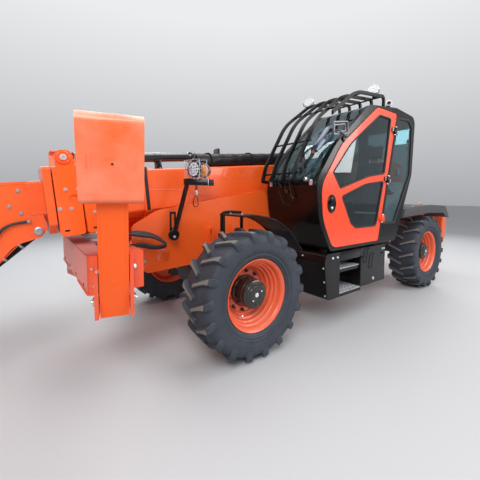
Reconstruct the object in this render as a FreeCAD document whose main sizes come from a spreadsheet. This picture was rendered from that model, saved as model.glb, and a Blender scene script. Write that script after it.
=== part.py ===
import FreeCAD, Part
import math
import os
import re

# Telehandler with a four-section boom, front stabilisers and a fork carriage.
# Millimetres and degrees. X forward, Y left, Z up, the floor at Z 0.
# Everything is drawn from the middle of the wheelbase and moved at the end,
# so that the origin lies under the middle of the machine's length.

os.makedirs("parts", exist_ok=True)
doc = FreeCAD.newDocument("telehandler")
sheet = doc.addObject("Spreadsheet::Sheet", "Sizes")

# Driving sizes: name, value
SIZES = [
    # wheels, axles and steering
    ("wheelbase", 3633), ("wheel_y", 955), ("tyre_radius", 590), ("tyre_width", 410),
    ("lug_height", 32), ("lug_depth", 85), ("rim_radius", 334), ("bead_radius", 306),
    ("rim_width", 336), ("hub_radius", 150), ("hub_out", 152), ("disc_in", 62),
    ("kingpin_y", 700), ("kingpin_radius", 68), ("spindle_radius", 105), ("knuckle_high", 290),
    ("axle_radius", 92), ("diff_radius", 185), ("diff_wide", 340), ("yoke_plate", 34),
    ("run_gap", 0.3), ("move_gap", 6),
    # chassis
    ("plate_y", 360), ("plate_thick", 25), ("chassis_front", 2690), ("chassis_rear", 2620),
    ("chassis_low", 770), ("nose_top", 1206), ("pivot_x", 2300), ("pivot_z", 1955),
    ("tail_x", 2800), ("tail_wide", 1040), ("tail_low", 640), ("tail_top", 1290),
    ("tray_z", 590), ("pod_front", 900), ("pod_rear", 960), ("pod_out", 1130),
    ("pod_in", 420), ("pod_top", 1480), ("pod_wall", 22),
    ("engine_long", 900), ("engine_wide", 480), ("engine_high", 640),
    # cab
    ("cab_in", 390), ("cab_out", 1150), ("cab_wall", 45), ("post", 58), ("roof_z", 2565),
    ("cab_low", 885), ("glass_thick", 8), ("door_thick", 38), ("door_gap", 6),
    ("guard_bar", 26), ("guard_deep", 36),
    # step boxes
    ("step_in", 520), ("step_out", 1141), ("step_low", 337), ("step_top", 855),
    ("step_front", 894), ("step_mid", 620), ("step_back", 190), ("step_rear", 390),
    ("tread_deep", 290), ("tread_thick", 36), ("sheet_metal", 16),
    # stabilisers
    ("beam_rear", 2735), ("beam_front", 3130), ("beam_half", 800), ("beam_low", 765),
    ("beam_top", 1053), ("leg_wide", 203), ("leg_deep", 150), ("leg_wall", 14),
    ("leg_x", 2937), ("leg_y", 728), ("leg_z", 680), ("leg_long", 1075), ("leg_tail", 95),
    ("leg_lean", 11), ("leg_turn", 13.4), ("pad_wide", 405), ("pad_high", 584),
    ("pad_thick", 14), ("pad_lip_top", 78), ("pad_lip_low", 50), ("pad_off", 60),
    ("pin_radius", 20),
    # boom
    ("boom_slope", 5.3), ("boom_wide", 440), ("boom_high", 470), ("boom_wall", 12),
    ("boom_rear", 260), ("boom_front", 5390), ("section_gap", 10), ("section_wall", 10),
    ("section_rear", 500), ("collar_long", 190), ("collar_short", 60), ("collar_out", 45),
    ("strap_thick", 16), ("reach_two", 200), ("reach_three", 270), ("reach_four", 380),
    ("boom_bend", 70),
    ("carrier_y", 90), ("carrier_high", 358), ("carrier_radius", 48),
    ("pivot_radius", 95), ("head_x", 6297), ("head_drop", 761), ("head_plate", 25),
    ("head_half", 150),
    # lift and tilt cylinders
    ("lift_base_x", 1200), ("lift_base_z", 930), ("lift_eye_x", 900), ("lift_eye_z", 1340),
    ("lift_radius", 88), ("lift_rod", 48), ("lift_pin", 40), ("tilt_base_x", 5730),
    ("tilt_base_drop", 240), ("tilt_radius", 50), ("tilt_rod", 28),
    ("eye_back", 60), ("eye_up", 180),
    # carriage and forks
    ("carriage_wide", 1240), ("carriage_out", 130), ("bar_high", 80), ("bar_deep", 40),
    ("carriage_top", 300), ("carriage_low", 420), ("fork_long", 1150), ("fork_wide", 120),
    ("fork_thick", 45), ("fork_half", 330), ("tine_tip", 14), ("fork_z", 140),
]


class Sizes:
    pass


s = Sizes()
for row, (name, value) in enumerate(SIZES, 1):
    sheet.set("A%d" % row, name)
    sheet.set("B%d" % row, str(value))
    sheet.setAlias("B%d" % row, name)
    setattr(s, name, float(value))
doc.recompute()

names = {name for name, value in SIZES}
planes = {"side": "XZ_Plane", "front": "YZ_Plane", "top": "XY_Plane"}
nodes = {}


def bound(text):
    # An expression over the sheet's aliases
    def swap(match):
        word = match.group(0)
        return "Sizes." + word if word in names else word
    return re.sub(r"[a-z_]+", swap, text)


def outline(points):
    # Closed edges through (u, v) corners; a third value rounds that corner
    corners = [(FreeCAD.Vector(p[0], p[1], 0), p[2] if len(p) > 2 else 0) for p in points]
    spans = []
    for i, (corner, radius) in enumerate(corners):
        if not radius:
            spans.append((corner, corner, None))
            continue
        back = (corners[i - 1][0] - corner).normalize()
        ahead = (corners[(i + 1) % len(corners)][0] - corner).normalize()
        half = back.getAngle(ahead) / 2
        cut = radius / math.tan(half)
        middle = (back + ahead).normalize() * (radius / math.sin(half) - radius)
        spans.append((corner + back * cut, corner + ahead * cut, corner + middle))
    edges = []
    for i, (start, end, middle) in enumerate(spans):
        if middle:
            edges.append(Part.Arc(start, middle, end))
        onward = spans[(i + 1) % len(spans)][0]
        if (onward - end).Length > 1e-6:
            edges.append(Part.LineSegment(end, onward))
    return edges


def inset(points, distance):
    # The same corners moved inwards by a distance
    area = sum(a[0] * b[1] - b[0] * a[1] for a, b in zip(points, points[1:] + points[:1]))
    side = 1 if area > 0 else -1
    moved = []
    for i, here in enumerate(points):
        before = points[i - 1]
        after = points[(i + 1) % len(points)]
        normals = []
        for (x, z), (p, q) in (((before[0], before[1]), (here[0], here[1])),
                               ((here[0], here[1]), (after[0], after[1]))):
            long = math.hypot(p - x, q - z)
            normals.append((-(q - z) / long * side, (p - x) / long * side))
        (a, b), (c, d) = normals
        share = distance / (1 + a * c + b * d)
        radius = max(here[2] - distance, 5) if len(here) > 2 else 0
        moved.append((here[0] + (a + c) * share, here[1] + (b + d) * share, radius))
    return moved


def plate(label, plane, points, low, high, holes=()):
    # A sketched outline padded between two heights over its plane
    body = doc.addObject("PartDesign::Body", label)
    sketch = body.newObject("Sketcher::SketchObject", label + "_outline")
    base = [f for f in body.Origin.OriginFeatures if f.Role == planes[plane]][0]
    sketch.AttachmentSupport = [(base, "")]
    sketch.MapMode = "FlatFace"
    for loop in (points,) + tuple(holes):
        for edge in outline(loop):
            sketch.addGeometry(edge)
    level = "-(" + bound(high) + ")" if plane == "side" else bound(low)
    sketch.setExpression("AttachmentOffset.Base.z", level)
    pad = body.newObject("PartDesign::Pad", label + "_pad")
    pad.Profile = sketch
    pad.setExpression("Length", bound("(" + high + ") - (" + low + ")"))
    return body


def block(label, x, y, z):
    # A box between two expressions along each axis
    box = doc.addObject("Part::Box", label)
    for side, axis, (low, high) in (("Length", "x", x), ("Width", "y", y), ("Height", "z", z)):
        box.setExpression(side, bound("(" + high + ") - (" + low + ")"))
        box.setExpression("Placement.Base." + axis, bound(low))
    return box


def rod(label, start, end, radius):
    # A round bar between two points, its radius an expression
    bar = doc.addObject("Part::Cylinder", label)
    run = FreeCAD.Vector(*end) - FreeCAD.Vector(*start)
    bar.Height = run.Length
    bar.setExpression("Radius", bound(radius))
    turn = FreeCAD.Rotation(FreeCAD.Vector(0, 0, 1), run)
    bar.Placement = FreeCAD.Placement(FreeCAD.Vector(*start), turn)
    return bar


def fuse(label, pieces):
    joined = doc.addObject("Part::MultiFuse", label)
    joined.Shapes = pieces
    return joined


def cut(label, base, tools):
    result = doc.addObject("Part::Cut", label)
    result.Base = base
    result.Tool = tools[0] if len(tools) == 1 else fuse(label + "_tools", tools)
    return result


def common(label, base, tool):
    result = doc.addObject("Part::Common", label)
    result.Base = base
    result.Tool = tool
    return result


def mirrored(label, source):
    copy = doc.addObject("Part::Mirroring", label)
    copy.Source = source
    copy.Normal = (0, 1, 0)
    return copy


def node(name, piece):
    piece.Label = name
    nodes[name] = piece
    return piece


# Wheels

def ring(profile, sides):
    # A turned form in flat facets from a closed (radius, y) outline
    def spot(radius, y, k):
        angle = 2 * math.pi * k / sides
        return FreeCAD.Vector(radius * math.cos(angle), y, radius * math.sin(angle))
    faces = []
    for k in range(sides):
        for (ra, ya), (rb, yb) in zip(profile, profile[1:] + profile[:1]):
            corners = []
            for corner in (spot(ra, ya, k), spot(rb, yb, k), spot(rb, yb, k + 1), spot(ra, ya, k + 1)):
                if not corners or (corner - corners[-1]).Length > 1e-6:
                    corners.append(corner)
            if (corners[0] - corners[-1]).Length < 1e-6:
                corners.pop()
            if len(corners) > 2:
                faces.append(Part.Face(Part.makePolygon(corners + corners[:1])))
    solid = Part.Solid(Part.Shell(faces))
    if solid.Volume < 0:
        solid.reverse()
    return solid


def tyre_shape():
    half = s.tyre_width / 2
    base = s.tyre_radius - s.lug_height
    wall = base - s.bead_radius
    # The flats of the ring must stay outside the rim, so its corners lie further out
    out = 1 / math.cos(math.pi / lug_count)
    flange = s.rim_width / 2 - s.run_gap
    side = [(s.bead_radius * out, flange - 24), (s.bead_radius + 0.5 * wall, half),
            (base - 0.06 * wall, 0.93 * half)]
    profile = side + [(r, -y) for r, y in reversed(side)]
    carcass = ring(profile, lug_count)
    # Lug stations: y as a share of the half width, forward offset, half width of the bar
    stations = [(-0.06, -42, 20), (0.42, 8, 23), (1.01, 34, 31)]
    outer = [(y * half, t + w) for y, t, w in stations]
    inner = [(y * half, t - w) for y, t, w in reversed(stations)]
    reach = max(abs(t) for y, t in outer + inner)
    top = math.sqrt(s.tyre_radius ** 2 - reach ** 2)
    corners = [FreeCAD.Vector(top - s.lug_depth, y, t) for y, t in outer + inner]
    bar = Part.Face(Part.makePolygon(corners + corners[:1])).extrude(FreeCAD.Vector(s.lug_depth, 0, 0))
    other = bar.mirror(FreeCAD.Vector(0, 0, 0), FreeCAD.Vector(0, 1, 0))
    pitch = 360 / lug_count
    lugs = []
    for k in range(lug_count):
        for lug, start in ((bar, 0), (other, pitch / 2)):
            copy = lug.copy()
            copy.rotate(FreeCAD.Vector(0, 0, 0), FreeCAD.Vector(0, 1, 0), start + k * pitch)
            lugs.append(copy)
    return carcass.multiFuse(lugs)


def rim_shape():
    half = s.rim_width / 2
    seat = s.bead_radius - s.run_gap
    well = seat - 10
    # Radius and y of the flanges, the seat, the stepped dish and the hub
    profile = [(s.rim_radius, half), (s.rim_radius, half - 10), (seat, half - 20), (seat, 20 - half),
               (s.rim_radius, 10 - half), (s.rim_radius, -half), (well, 24 - half),
               (well, -18), (well - 62, -s.disc_in + 4), (s.hub_radius - 40, -s.disc_in), (0, -s.disc_in),
               (0, s.hub_out), (s.hub_radius - 28, s.hub_out), (s.hub_radius - 12, s.hub_out - 44),
               (s.hub_radius, s.hub_out - 56), (s.hub_radius, 16 - s.disc_in),
               (well - 74, 20 - s.disc_in), (well - 58, 26), (well - 30, 40), (well - 4, 88),
               (well, half - 22)]
    return ring(profile, 2 * lug_count)


lug_count = 18
corners = [("front_left", 1, 1), ("front_right", 1, -1), ("rear_left", -1, 1), ("rear_right", -1, -1)]


def wheels():
    for kind, shape in (("tyre", tyre_shape()), ("rim", rim_shape())):
        opposite = shape.mirror(FreeCAD.Vector(0, 0, 0), FreeCAD.Vector(0, 1, 0))
        for corner, end, side in corners:
            wheel = doc.addObject("Part::Feature", kind + "_" + corner)
            wheel.Shape = shape if side > 0 else opposite
            place = FreeCAD.Vector(end * s.wheelbase / 2, side * s.wheel_y, s.tyre_radius)
            wheel.Placement = FreeCAD.Placement(place, FreeCAD.Rotation())
            node(kind + "_" + corner, wheel)


# Axles: the beam with its yokes, and the knuckles that turn in them

def axle(name, end):
    x = end * s.wheelbase / 2
    z = s.tyre_radius
    side = "(" + ("" if end > 0 else "-") + "wheelbase / 2)"
    pieces = [rod(name + "_beam", (x, -s.kingpin_y + 130, z), (x, s.kingpin_y - 130, z), "axle_radius"),
              rod(name + "_diff", (x, -s.diff_wide / 2, z), (x, s.diff_wide / 2, z), "diff_radius")]
    for mark, y in (("left", 1), ("right", -1)):
        low, high = ("kingpin_y - 140", "kingpin_y - 84") if y > 0 else ("84 - kingpin_y", "140 - kingpin_y")
        pieces.append(block(name + "_web_" + mark, (side + " - 75", side + " + 75"), (low, high),
                            ("tyre_radius - knuckle_high / 2 - yoke_plate - move_gap",
                             "tyre_radius + knuckle_high / 2 + yoke_plate + move_gap")))
        for level, up in (("top", 1), ("foot", -1)):
            near = z + up * (s.knuckle_high / 2 + s.run_gap)
            far = near + up * (s.yoke_plate + s.move_gap)
            ear = [(x - 75, y * (s.kingpin_y - 140)), (x + 75, y * (s.kingpin_y - 140)),
                   (x + 75, y * (s.kingpin_y + 75), 70), (x - 75, y * (s.kingpin_y + 75), 70)]
            base = "tyre_radius + knuckle_high / 2 + run_gap" if up > 0 else \
                "tyre_radius - knuckle_high / 2 - run_gap - yoke_plate - move_gap"
            pieces.append(plate(name + "_ear_" + level + mark, "top", ear, base,
                                base + " + yoke_plate + move_gap"))
            cap = far + up * 12
            pieces.append(rod(name + "_cap_" + level + mark, (x, y * s.kingpin_y, far),
                              (x, y * s.kingpin_y, cap), "kingpin_radius - 22"))
    return node(name, fuse(name, pieces))


def knuckle(corner, end, side):
    x = end * s.wheelbase / 2
    z = s.tyre_radius
    name = "knuckle_" + corner
    far = s.wheel_y - s.disc_in - s.run_gap
    pieces = [rod(name + "_barrel", (x, side * s.kingpin_y, z - s.knuckle_high / 2),
                  (x, side * s.kingpin_y, z + s.knuckle_high / 2), "kingpin_radius"),
              rod(name + "_spindle", (x, side * s.kingpin_y, z), (x, side * far, z), "spindle_radius"),
              rod(name + "_flange", (x, side * (far - 40), z), (x, side * far, z), "spindle_radius + 30"),
              rod(name + "_arm", (x, side * s.kingpin_y, z), (x - end * 210, side * (s.kingpin_y + 10), z),
                  "28")]
    return node(name, fuse(name, pieces))


# Front mudguards, carried by the knuckles on bent tubes

def front_fenders():
    x = s.wheelbase / 2
    z = s.tyre_radius
    name = "fender_front_left"
    # The stays stand between the yoke and the tyre's inner side
    stay_y = s.wheel_y - s.tyre_width / 2 - 28
    # Angle from straight up, backwards, and radius of the guard's line
    line = [(-11, 735), (0, 728), (20, 725), (40, 722), (62, 722)]
    top = [(x - r * math.sin(math.radians(a)), z + r * math.cos(math.radians(a))) for a, r in line]
    low = [(x - (r - 14) * math.sin(math.radians(a)), z + (r - 14) * math.cos(math.radians(a)))
           for a, r in reversed(line)]
    pieces = [plate(name + "_guard", "side", top + low, "wheel_y - tyre_width / 2 - 44", "wheel_y + 110")]
    for mark, ahead in (("front", 110), ("back", -110)):
        foot = (x + ahead, s.wheel_y - s.disc_in - 40 - 2 * s.run_gap, z + 70)
        knee = (x + ahead, stay_y, z + 70)
        pieces.append(rod(name + "_foot_" + mark, foot, knee, "16"))
        pieces.append(rod(name + "_stay_" + mark, knee, (x + ahead, stay_y, z + 716), "16"))
    node(name, fuse(name, pieces))
    node("fender_front_right", mirrored("fender_front_right", nodes[name]))


# Chassis: two side plates, their cross tubes, the engine tray and the nose

def chassis():
    rear = -s.chassis_rear
    tower = -s.pivot_x
    side = [(s.chassis_front, s.chassis_low + 120), (s.chassis_front, s.nose_top, 60), (2453, 1341, 200),
            (1103, 1561, 900), (-1150, 1760, 500), (tower + 230, s.pivot_z + 170, 120),
            (tower - 190, s.pivot_z + 170, 120), (rear, s.pivot_z - 260, 200), (rear, s.chassis_low, 40),
            (2050, s.chassis_low, 300), (2560, s.chassis_low - 25, 60)]
    left = plate("side_plate", "side", side, "plate_y - plate_thick", "plate_y")
    right = mirrored("side_plate_right", left)
    pieces = [left, right]
    # Cross tubes between the plates: x, z, radius
    for k, (x, z) in enumerate([(2400, 900), (1300, 1000), (-300, 880), (-1500, 1100), (-2450, 1000)]):
        pieces.append(rod("cross_tube_%d" % k, (x, -s.plate_y + 5, z), (x, s.plate_y - 5, z), "60"))
    pieces.append(rod("lift_pin", (-s.lift_base_x, -s.plate_y + 5, s.lift_base_z),
                      (-s.lift_base_x, s.plate_y - 5, s.lift_base_z), "lift_pin"))
    pieces.append(rod("boom_pin", (tower, s.plate_y - 5, s.pivot_z),
                      (tower, s.plate_y + 45, s.pivot_z), "pivot_radius - 20"))
    pieces.append(rod("boom_pin_right", (tower, -s.plate_y + 5, s.pivot_z),
                      (tower, -s.plate_y - 45, s.pivot_z), "pivot_radius - 20"))
    pieces.append(block("belly", ("beam_rear - 700", "chassis_front - 60 - run_gap"),
                        ("-plate_y + 5", "plate_y - 5"), ("chassis_low + 15", "chassis_low + 35")))
    # Eye plates for tying the machine down
    eye = [(1830, 905), (1900, 905), (1900, 1150, 34), (1830, 1150, 34)]
    slot = [(1852, 985, 12), (1878, 985, 12), (1878, 1125, 12), (1852, 1125, 12)]
    tie = fuse("tie_left", [plate("tie_plate", "side", eye, "plate_y + 12", "plate_y + 32", [slot]),
                            block("tie_base", ("1812", "1918"), ("plate_y - 5", "plate_y + 40"),
                                  ("885", "925"))])
    pieces += [tie, mirrored("tie_right", tie)]
    # Engine tray outside the right plate
    pieces.append(block("tray", ("-pod_rear", "pod_front"), ("-pod_out", "-plate_y + 5"),
                        ("tray_z", "tray_z + plate_thick")))
    pieces.append(block("tray_wall", ("-pod_rear", "pod_front"), ("-pod_in + plate_thick", "-plate_y + 5"),
                        ("tray_z", "chassis_low + 60")))
    # Cab and step box brackets outside the left plate
    for k, (x, z) in enumerate([(750, 800), (-250, 800)]):
        pieces.append(rod("cab_bracket_%d" % k, (x, s.plate_y - 5, z), (x, s.step_in, z), "30"))
    # Axle saddles from the plates to the axle tubes
    for k, end in enumerate((1, -1)):
        for side_y in (1, -1):
            x = end * s.wheelbase / 2
            y = side_y * (s.plate_y - 50)
            foot = s.tyre_radius + s.axle_radius + s.run_gap
            pieces.append(rod("saddle_%d%d" % (k, side_y > 0), (x, y, foot),
                              (x, y, s.chassis_low + 60), "55"))
    return node("chassis_frame", fuse("chassis_frame", pieces))


def crossbeam():
    box = [(s.beam_rear, -s.beam_half), (s.beam_front, -s.beam_half, 45), (s.beam_front, s.beam_half, 45),
           (s.beam_rear, s.beam_half)]
    beam = plate("beam_box", "top", box, "beam_low", "beam_top")
    slots = []
    turn = math.radians(s.leg_turn)
    ux, uy = math.cos(turn), -math.sin(turn)
    nx, ny = math.sin(turn), math.cos(turn)
    half = s.leg_wide / 2 + s.move_gap
    for side in (1, -1):
        corners_xy = []
        for along, out in ((-half, -s.leg_deep), (half, -s.leg_deep), (half, 260), (-half, 260)):
            corners_xy.append((s.leg_x + along * ux + out * nx, side * (s.leg_y + along * uy + out * ny)))
        slots.append(plate("beam_slot_%d" % (side > 0), "top", corners_xy, "leg_z - 200", "beam_top + 40"))
    pieces = [cut("beam_cut", beam, slots)]
    thick = 28
    for side in (1, -1):
        for edge in (-1, 1):
            a = edge * (half + 0.2)
            b = edge * (half + thick)
            corners_xy = []
            for along, out in ((a, -s.leg_deep - 20), (b, -s.leg_deep - 20), (b, 118), (a, 118)):
                corners_xy.append((s.leg_x + along * ux + out * nx, side * (s.leg_y + along * uy + out * ny)))
            pieces.append(plate("beam_cheek_%d%d" % (side > 0, edge > 0), "top", corners_xy,
                                "leg_z - 100", "beam_top - 5"))
    for side in (1, -1):
        ends = []
        for along in (-half - thick + 2, half + thick - 2):
            ends.append((s.leg_x + along * ux, side * (s.leg_y + along * uy), s.leg_z))
        pieces.append(rod("leg_pin_%d" % (side > 0), ends[0], ends[1], "pin_radius"))
    pieces.append(block("beam_joint", ("chassis_front - 60", "beam_rear + 5"),
                        ("-plate_y + 30", "plate_y - 30"), ("beam_low + 20", "beam_top - 20")))
    return node("crossbeam", fuse("crossbeam", pieces))


# Stabilisers, drawn upright at the origin, then leaned, turned and carried out

def stabiliser(side):
    mark = "left" if side > 0 else "right"
    turn = FreeCAD.Rotation(FreeCAD.Vector(0, 0, 1), -side * s.leg_turn)
    lean = FreeCAD.Rotation(FreeCAD.Vector(1, 0, 0), -side * s.leg_lean)
    place = FreeCAD.Placement(FreeCAD.Vector(s.leg_x, side * s.leg_y, s.leg_z), turn.multiply(lean))
    half = s.leg_wide / 2
    near, far = -65, s.leg_deep - 65
    if side < 0:
        near, far = -far, -near
    name = "stabiliser_leg_" + mark
    low, high = ("-65", "leg_deep - 65") if side > 0 else ("65 - leg_deep", "65")
    web_low, web_high = ("leg_deep - 65 - leg_wall", "leg_deep - 65")
    if side < 0:
        web_low, web_high = "65 - leg_deep", "65 - leg_deep + leg_wall"
    web = block(name + "_web", ("-leg_wide / 2", "leg_wide / 2"), (web_low, web_high),
                ("-leg_tail", "leg_long - 60"))
    flanges = [block(name + "_flange_%d" % k, x, (low, high), ("-leg_tail", "leg_long - 60"))
               for k, x in enumerate([("-leg_wide / 2", "leg_wall - leg_wide / 2"),
                                      ("leg_wide / 2 - leg_wall", "leg_wide / 2")])]
    out = side * (s.leg_deep - 65 - 40)
    ears = [rod(name + "_ear_%d" % k, (x, out, s.leg_long), (x + 14, out, s.leg_long), "58")
            for k, x in enumerate((-half, half - 14))]
    stalks = [block(name + "_stalk_%d" % k, x, (low, high),
                    ("leg_long - 62", "leg_long"))
              for k, x in enumerate([("-leg_wide / 2", "leg_wall - leg_wide / 2"),
                                     ("leg_wide / 2 - leg_wall", "leg_wide / 2")])]
    eyes = [rod(name + "_eye_%d" % k, (x, 0, 0), (x + 40, 0, 0), "pin_radius + 24")
            for k, x in enumerate((-half, half - 40))]
    leg = fuse(name + "_welded", [web] + flanges + ears + stalks + eyes)
    bore = rod(name + "_bore", (-half - 5, 0, 0), (half + 5, 0, 0), "pin_radius + run_gap")
    bore_top = rod(name + "_bore_top", (-half - 5, out, s.leg_long), (half + 5, out, s.leg_long),
                   "pin_radius - 4 + run_gap")
    leg = cut(name, leg, [bore, bore_top])
    leg.Placement = place
    node(name, leg)
    # The pad: a bent plate with curved lips, its block and pin
    name = "stabiliser_pad_" + mark
    face = s.leg_deep - 65 + s.pad_off
    mid = s.leg_long
    high_z, lip, low_lip, thick = s.pad_high / 2, s.pad_lip_top, s.pad_lip_low, s.pad_thick
    line = [(-lip, high_z), (0, high_z, lip * 0.8), (0, -high_z, low_lip * 0.8), (-low_lip, -high_z),
            (-low_lip, thick - high_z), (-thick, thick - high_z, low_lip * 0.8 - thick),
            (-thick, high_z - thick, lip * 0.8 - thick), (-lip, high_z - thick)]
    shaped = [(side * (face + p[0]), mid + p[1]) + tuple(p[2:]) for p in line]
    skin = plate(name + "_skin", "front", shaped, "-pad_wide / 2", "pad_wide / 2")
    lugs = [block(name + "_lug_%d" % k, x,
                  ("leg_deep - 65 - 70", "leg_deep - 65 + pad_off - 2") if side > 0 else
                  ("65 - leg_deep - pad_off + 2", "65 - leg_deep + 70"),
                  ("leg_long - 34", "leg_long + 34"))
            for k, x in enumerate([("-leg_wide / 2 + leg_wall + move_gap",
                                    "-leg_wide / 2 + leg_wall + move_gap + 16"),
                                   ("leg_wide / 2 - leg_wall - move_gap - 16",
                                    "leg_wide / 2 - leg_wall - move_gap")])]
    pin = rod(name + "_pin", (-half - 3, out, mid), (half + 3, out, mid), "pin_radius - 4")
    pad = fuse(name, [skin] + lugs + [pin])
    pad.Placement = place
    return node(name, pad)


# Engine, its hood, the rear weight, tanks and steps

def engine():
    block_piece = block("engine_block", ("-engine_long / 2 - 60", "engine_long / 2 - 60"),
                        ("-pod_out + 110", "-pod_out + 110 + engine_wide"),
                        ("tray_z + plate_thick + 40", "tray_z + plate_thick + 40 + engine_high"))
    feet = [block("engine_foot_%d" % k, (x, x + " + 90"), ("-pod_out + 160", "-pod_out + 540"),
                  ("tray_z + plate_thick", "tray_z + plate_thick + 45"))
            for k, x in enumerate(("-engine_long / 2", "engine_long / 2 - 220"))]
    return node("engine", fuse("engine", [block_piece] + feet))


def hood():
    low = s.tray_z + s.plate_thick
    section = [(-s.pod_in, low), (-s.pod_in, s.pod_top, 60), (-s.pod_out + 160, s.pod_top, 120),
               (-s.pod_out, s.pod_top - 190, 150), (-s.pod_out, low)]
    room = inset(section, s.pod_wall)
    room = [(y, z - 4 * s.pod_wall if z < low + 2 * s.pod_wall else z, r) for y, z, r in room]
    shell = plate("hood_outer", "front", section, "-pod_rear", "pod_front")
    inside = plate("hood_inner", "front", room, "-pod_rear + pod_wall", "pod_front - pod_wall")
    slots = [block("hood_slot_%d" % k, ("-pod_rear + 120", "-pod_rear + 560"),
                   ("-pod_out - 5", "-pod_out + 60"), ("tray_z + %d" % z, "tray_z + %d" % (z + 26)))
             for k, z in enumerate(range(150, 560, 62))]
    grille = [block("hood_vent_%d" % k, ("-pod_rear - 5", "-pod_rear + pod_wall + 5"), (y, y + " + 40"),
                    ("tray_z + 170", "tray_z + 700"))
              for k, y in enumerate(["-pod_out + %d" % y for y in range(110, 560, 78)])]
    return node("engine_hood", cut("engine_hood", shell, [inside] + slots + grille))


def tail():
    rear = -s.tail_x
    front = -s.chassis_rear - s.run_gap
    outline_xz = [(front, s.tail_low), (front, s.tail_top), (rear + 40, s.tail_top, 60),
                  (rear, s.tail_top - 120, 60), (rear, s.tail_low + 120, 60), (rear + 80, s.tail_low, 40)]
    weight = plate("tail_weight", "side", outline_xz, "-tail_wide", "tail_wide")
    neck = block("tail_neck", ("-chassis_rear - 20", "-chassis_rear + 60"),
                 ("plate_thick + run_gap - plate_y", "plate_y - plate_thick - run_gap"),
                 ("chassis_low + 60", "tail_top - 90"))
    hitch = rod("hitch_block", (rear - 10, 0, 700), (rear + 100, 0, 700), "90")
    jaw = ("-tail_x - 90", "-tail_x + 20")
    jaw_top = block("jaw_top", jaw, ("-60", "60"), ("tail_low + 105", "tail_low + 130"))
    jaw_low = block("jaw_low", jaw, ("-60", "60"), ("tail_low + 5", "tail_low + 30"))
    bore = rod("hitch_bore", (rear - 50, 0, s.tail_low - 10), (rear - 50, 0, s.tail_low + 150), "16")
    body = fuse("tail_joined", [weight, neck, hitch, jaw_top, jaw_low])
    return node("counterweight", cut("counterweight", body, [bore]))


def rear_fenders():
    # Line over the rear wheel: x, z, corner radius; the right one starts behind the hood
    rear_line = [(-1750, 1358, 300), (-2420, 1330, 160), (-2590, 1130), (-2576, 1128),
                 (-2411, 1317, 150), (-1750, 1345, 300)]
    left = [(-835, 1190), (-905, 1314, 60)] + rear_line + [(-912, 1301, 50), (-847, 1185)]
    right = [(-s.pod_rear - 15, 1318)] + rear_line + [(-s.pod_rear - 15, 1305)]
    pieces = [plate("rear_guard_left", "side", left, "wheel_y - 190", "wheel_y + 205"),
              plate("rear_guard_right", "side", right, "-wheel_y - 205", "190 - wheel_y")]
    for k, x in enumerate((-1250, -2250)):
        for side in (1, -1):
            pieces.append(rod("guard_arm_%d%d" % (k, side > 0), (x, side * (s.plate_y + s.run_gap), 1312),
                              (x, side * (s.wheel_y - 100), 1312), "18"))
    return node("rear_fenders", fuse("rear_fenders", pieces))


def steps():
    y = ("step_in", "step_out")
    front_line = [(s.step_mid, s.step_low), (s.step_mid, s.step_top), (s.step_front - 30, s.step_top, 40),
                  (s.step_front, s.step_top - 90, 40), (s.step_front - 50, s.step_low, 40)]
    pieces = [plate("step_front_box", "side", front_line, "step_in", "step_out"),
              block("step_rear_box", ("-step_rear", "step_back"), y, ("step_low + 40", "step_top")),
              block("step_back_plate", ("step_back - 5", "step_mid + 5"),
                    ("step_in", "step_in + sheet_metal"), ("step_low", "step_top")),
              block("step_tread_low", ("step_back - 5", "step_mid + 5"),
                    ("step_out - tread_deep", "step_out"), ("step_low", "step_low + tread_thick")),
              block("step_tread_top", ("step_back - 5", "step_mid + 5"),
                    ("step_out - tread_deep", "step_out - 20"),
                    ("step_low + 275", "step_low + 275 + tread_thick")),
              block("step_sill", ("step_back - 5", "step_mid + 5"), ("step_in", "step_out - 60"),
                    ("step_top - 40", "step_top"))]
    # Rubber cab mounts on the boxes
    for k, (x, y_mid) in enumerate([(740, 640), (740, 1000), (-280, 640), (-280, 1000)]):
        pieces.append(rod("cab_mount_%d" % k, (x, y_mid, s.step_top - 5), (x, y_mid, s.cab_low), "45"))
    return node("step_box", fuse("step_box", pieces))


# Cab: side outline as x, z, corner radius, clockwise from the floor's front
cab_line = [(815, s.cab_low, 60), (1020, 1225, 500), (1070, 1645, 260), (760, 2050, 700),
            (110, 2590, 260), (-560, 2668, 500), (-1120, 2625, 110), (-1070, 1800, 250),
            (-640, s.cab_low, 60)]
door_line = [(-572, 2590, 30), (-176, 920, 40), (780, 920, 130), (950, 1240, 500), (985, 1600, 300),
             (640, 2070, 700), (-80, 2592, 90)]
upper_pane = [(-134, 2508, 40), (-424, 2508, 30), (-300, 1782, 50), (90, 1730, 900), (660, 1572, 25),
              (800, 1747, 25), (480, 2092, 700)]
lower_pane = [(632, 1487, 25), (150, 1640, 900), (-282, 1690, 30), (-124, 1112, 60), (340, 1112, 110),
              (440, 1170, 60)]
rear_pane = [(-610, 2550, 40), (-930, 2572, 60), (-1050, 2480, 60), (-1028, 1800, 200), (-610, 1128, 30),
             (-262, 1128, 30)]
right_pane = [(850, 1640, 40), (520, 2110, 60), (80, 2470, 80), (-900, 2500, 80), (-960, 1700, 80),
              (-880, 1500, 60), (800, 1500, 60)]


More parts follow.
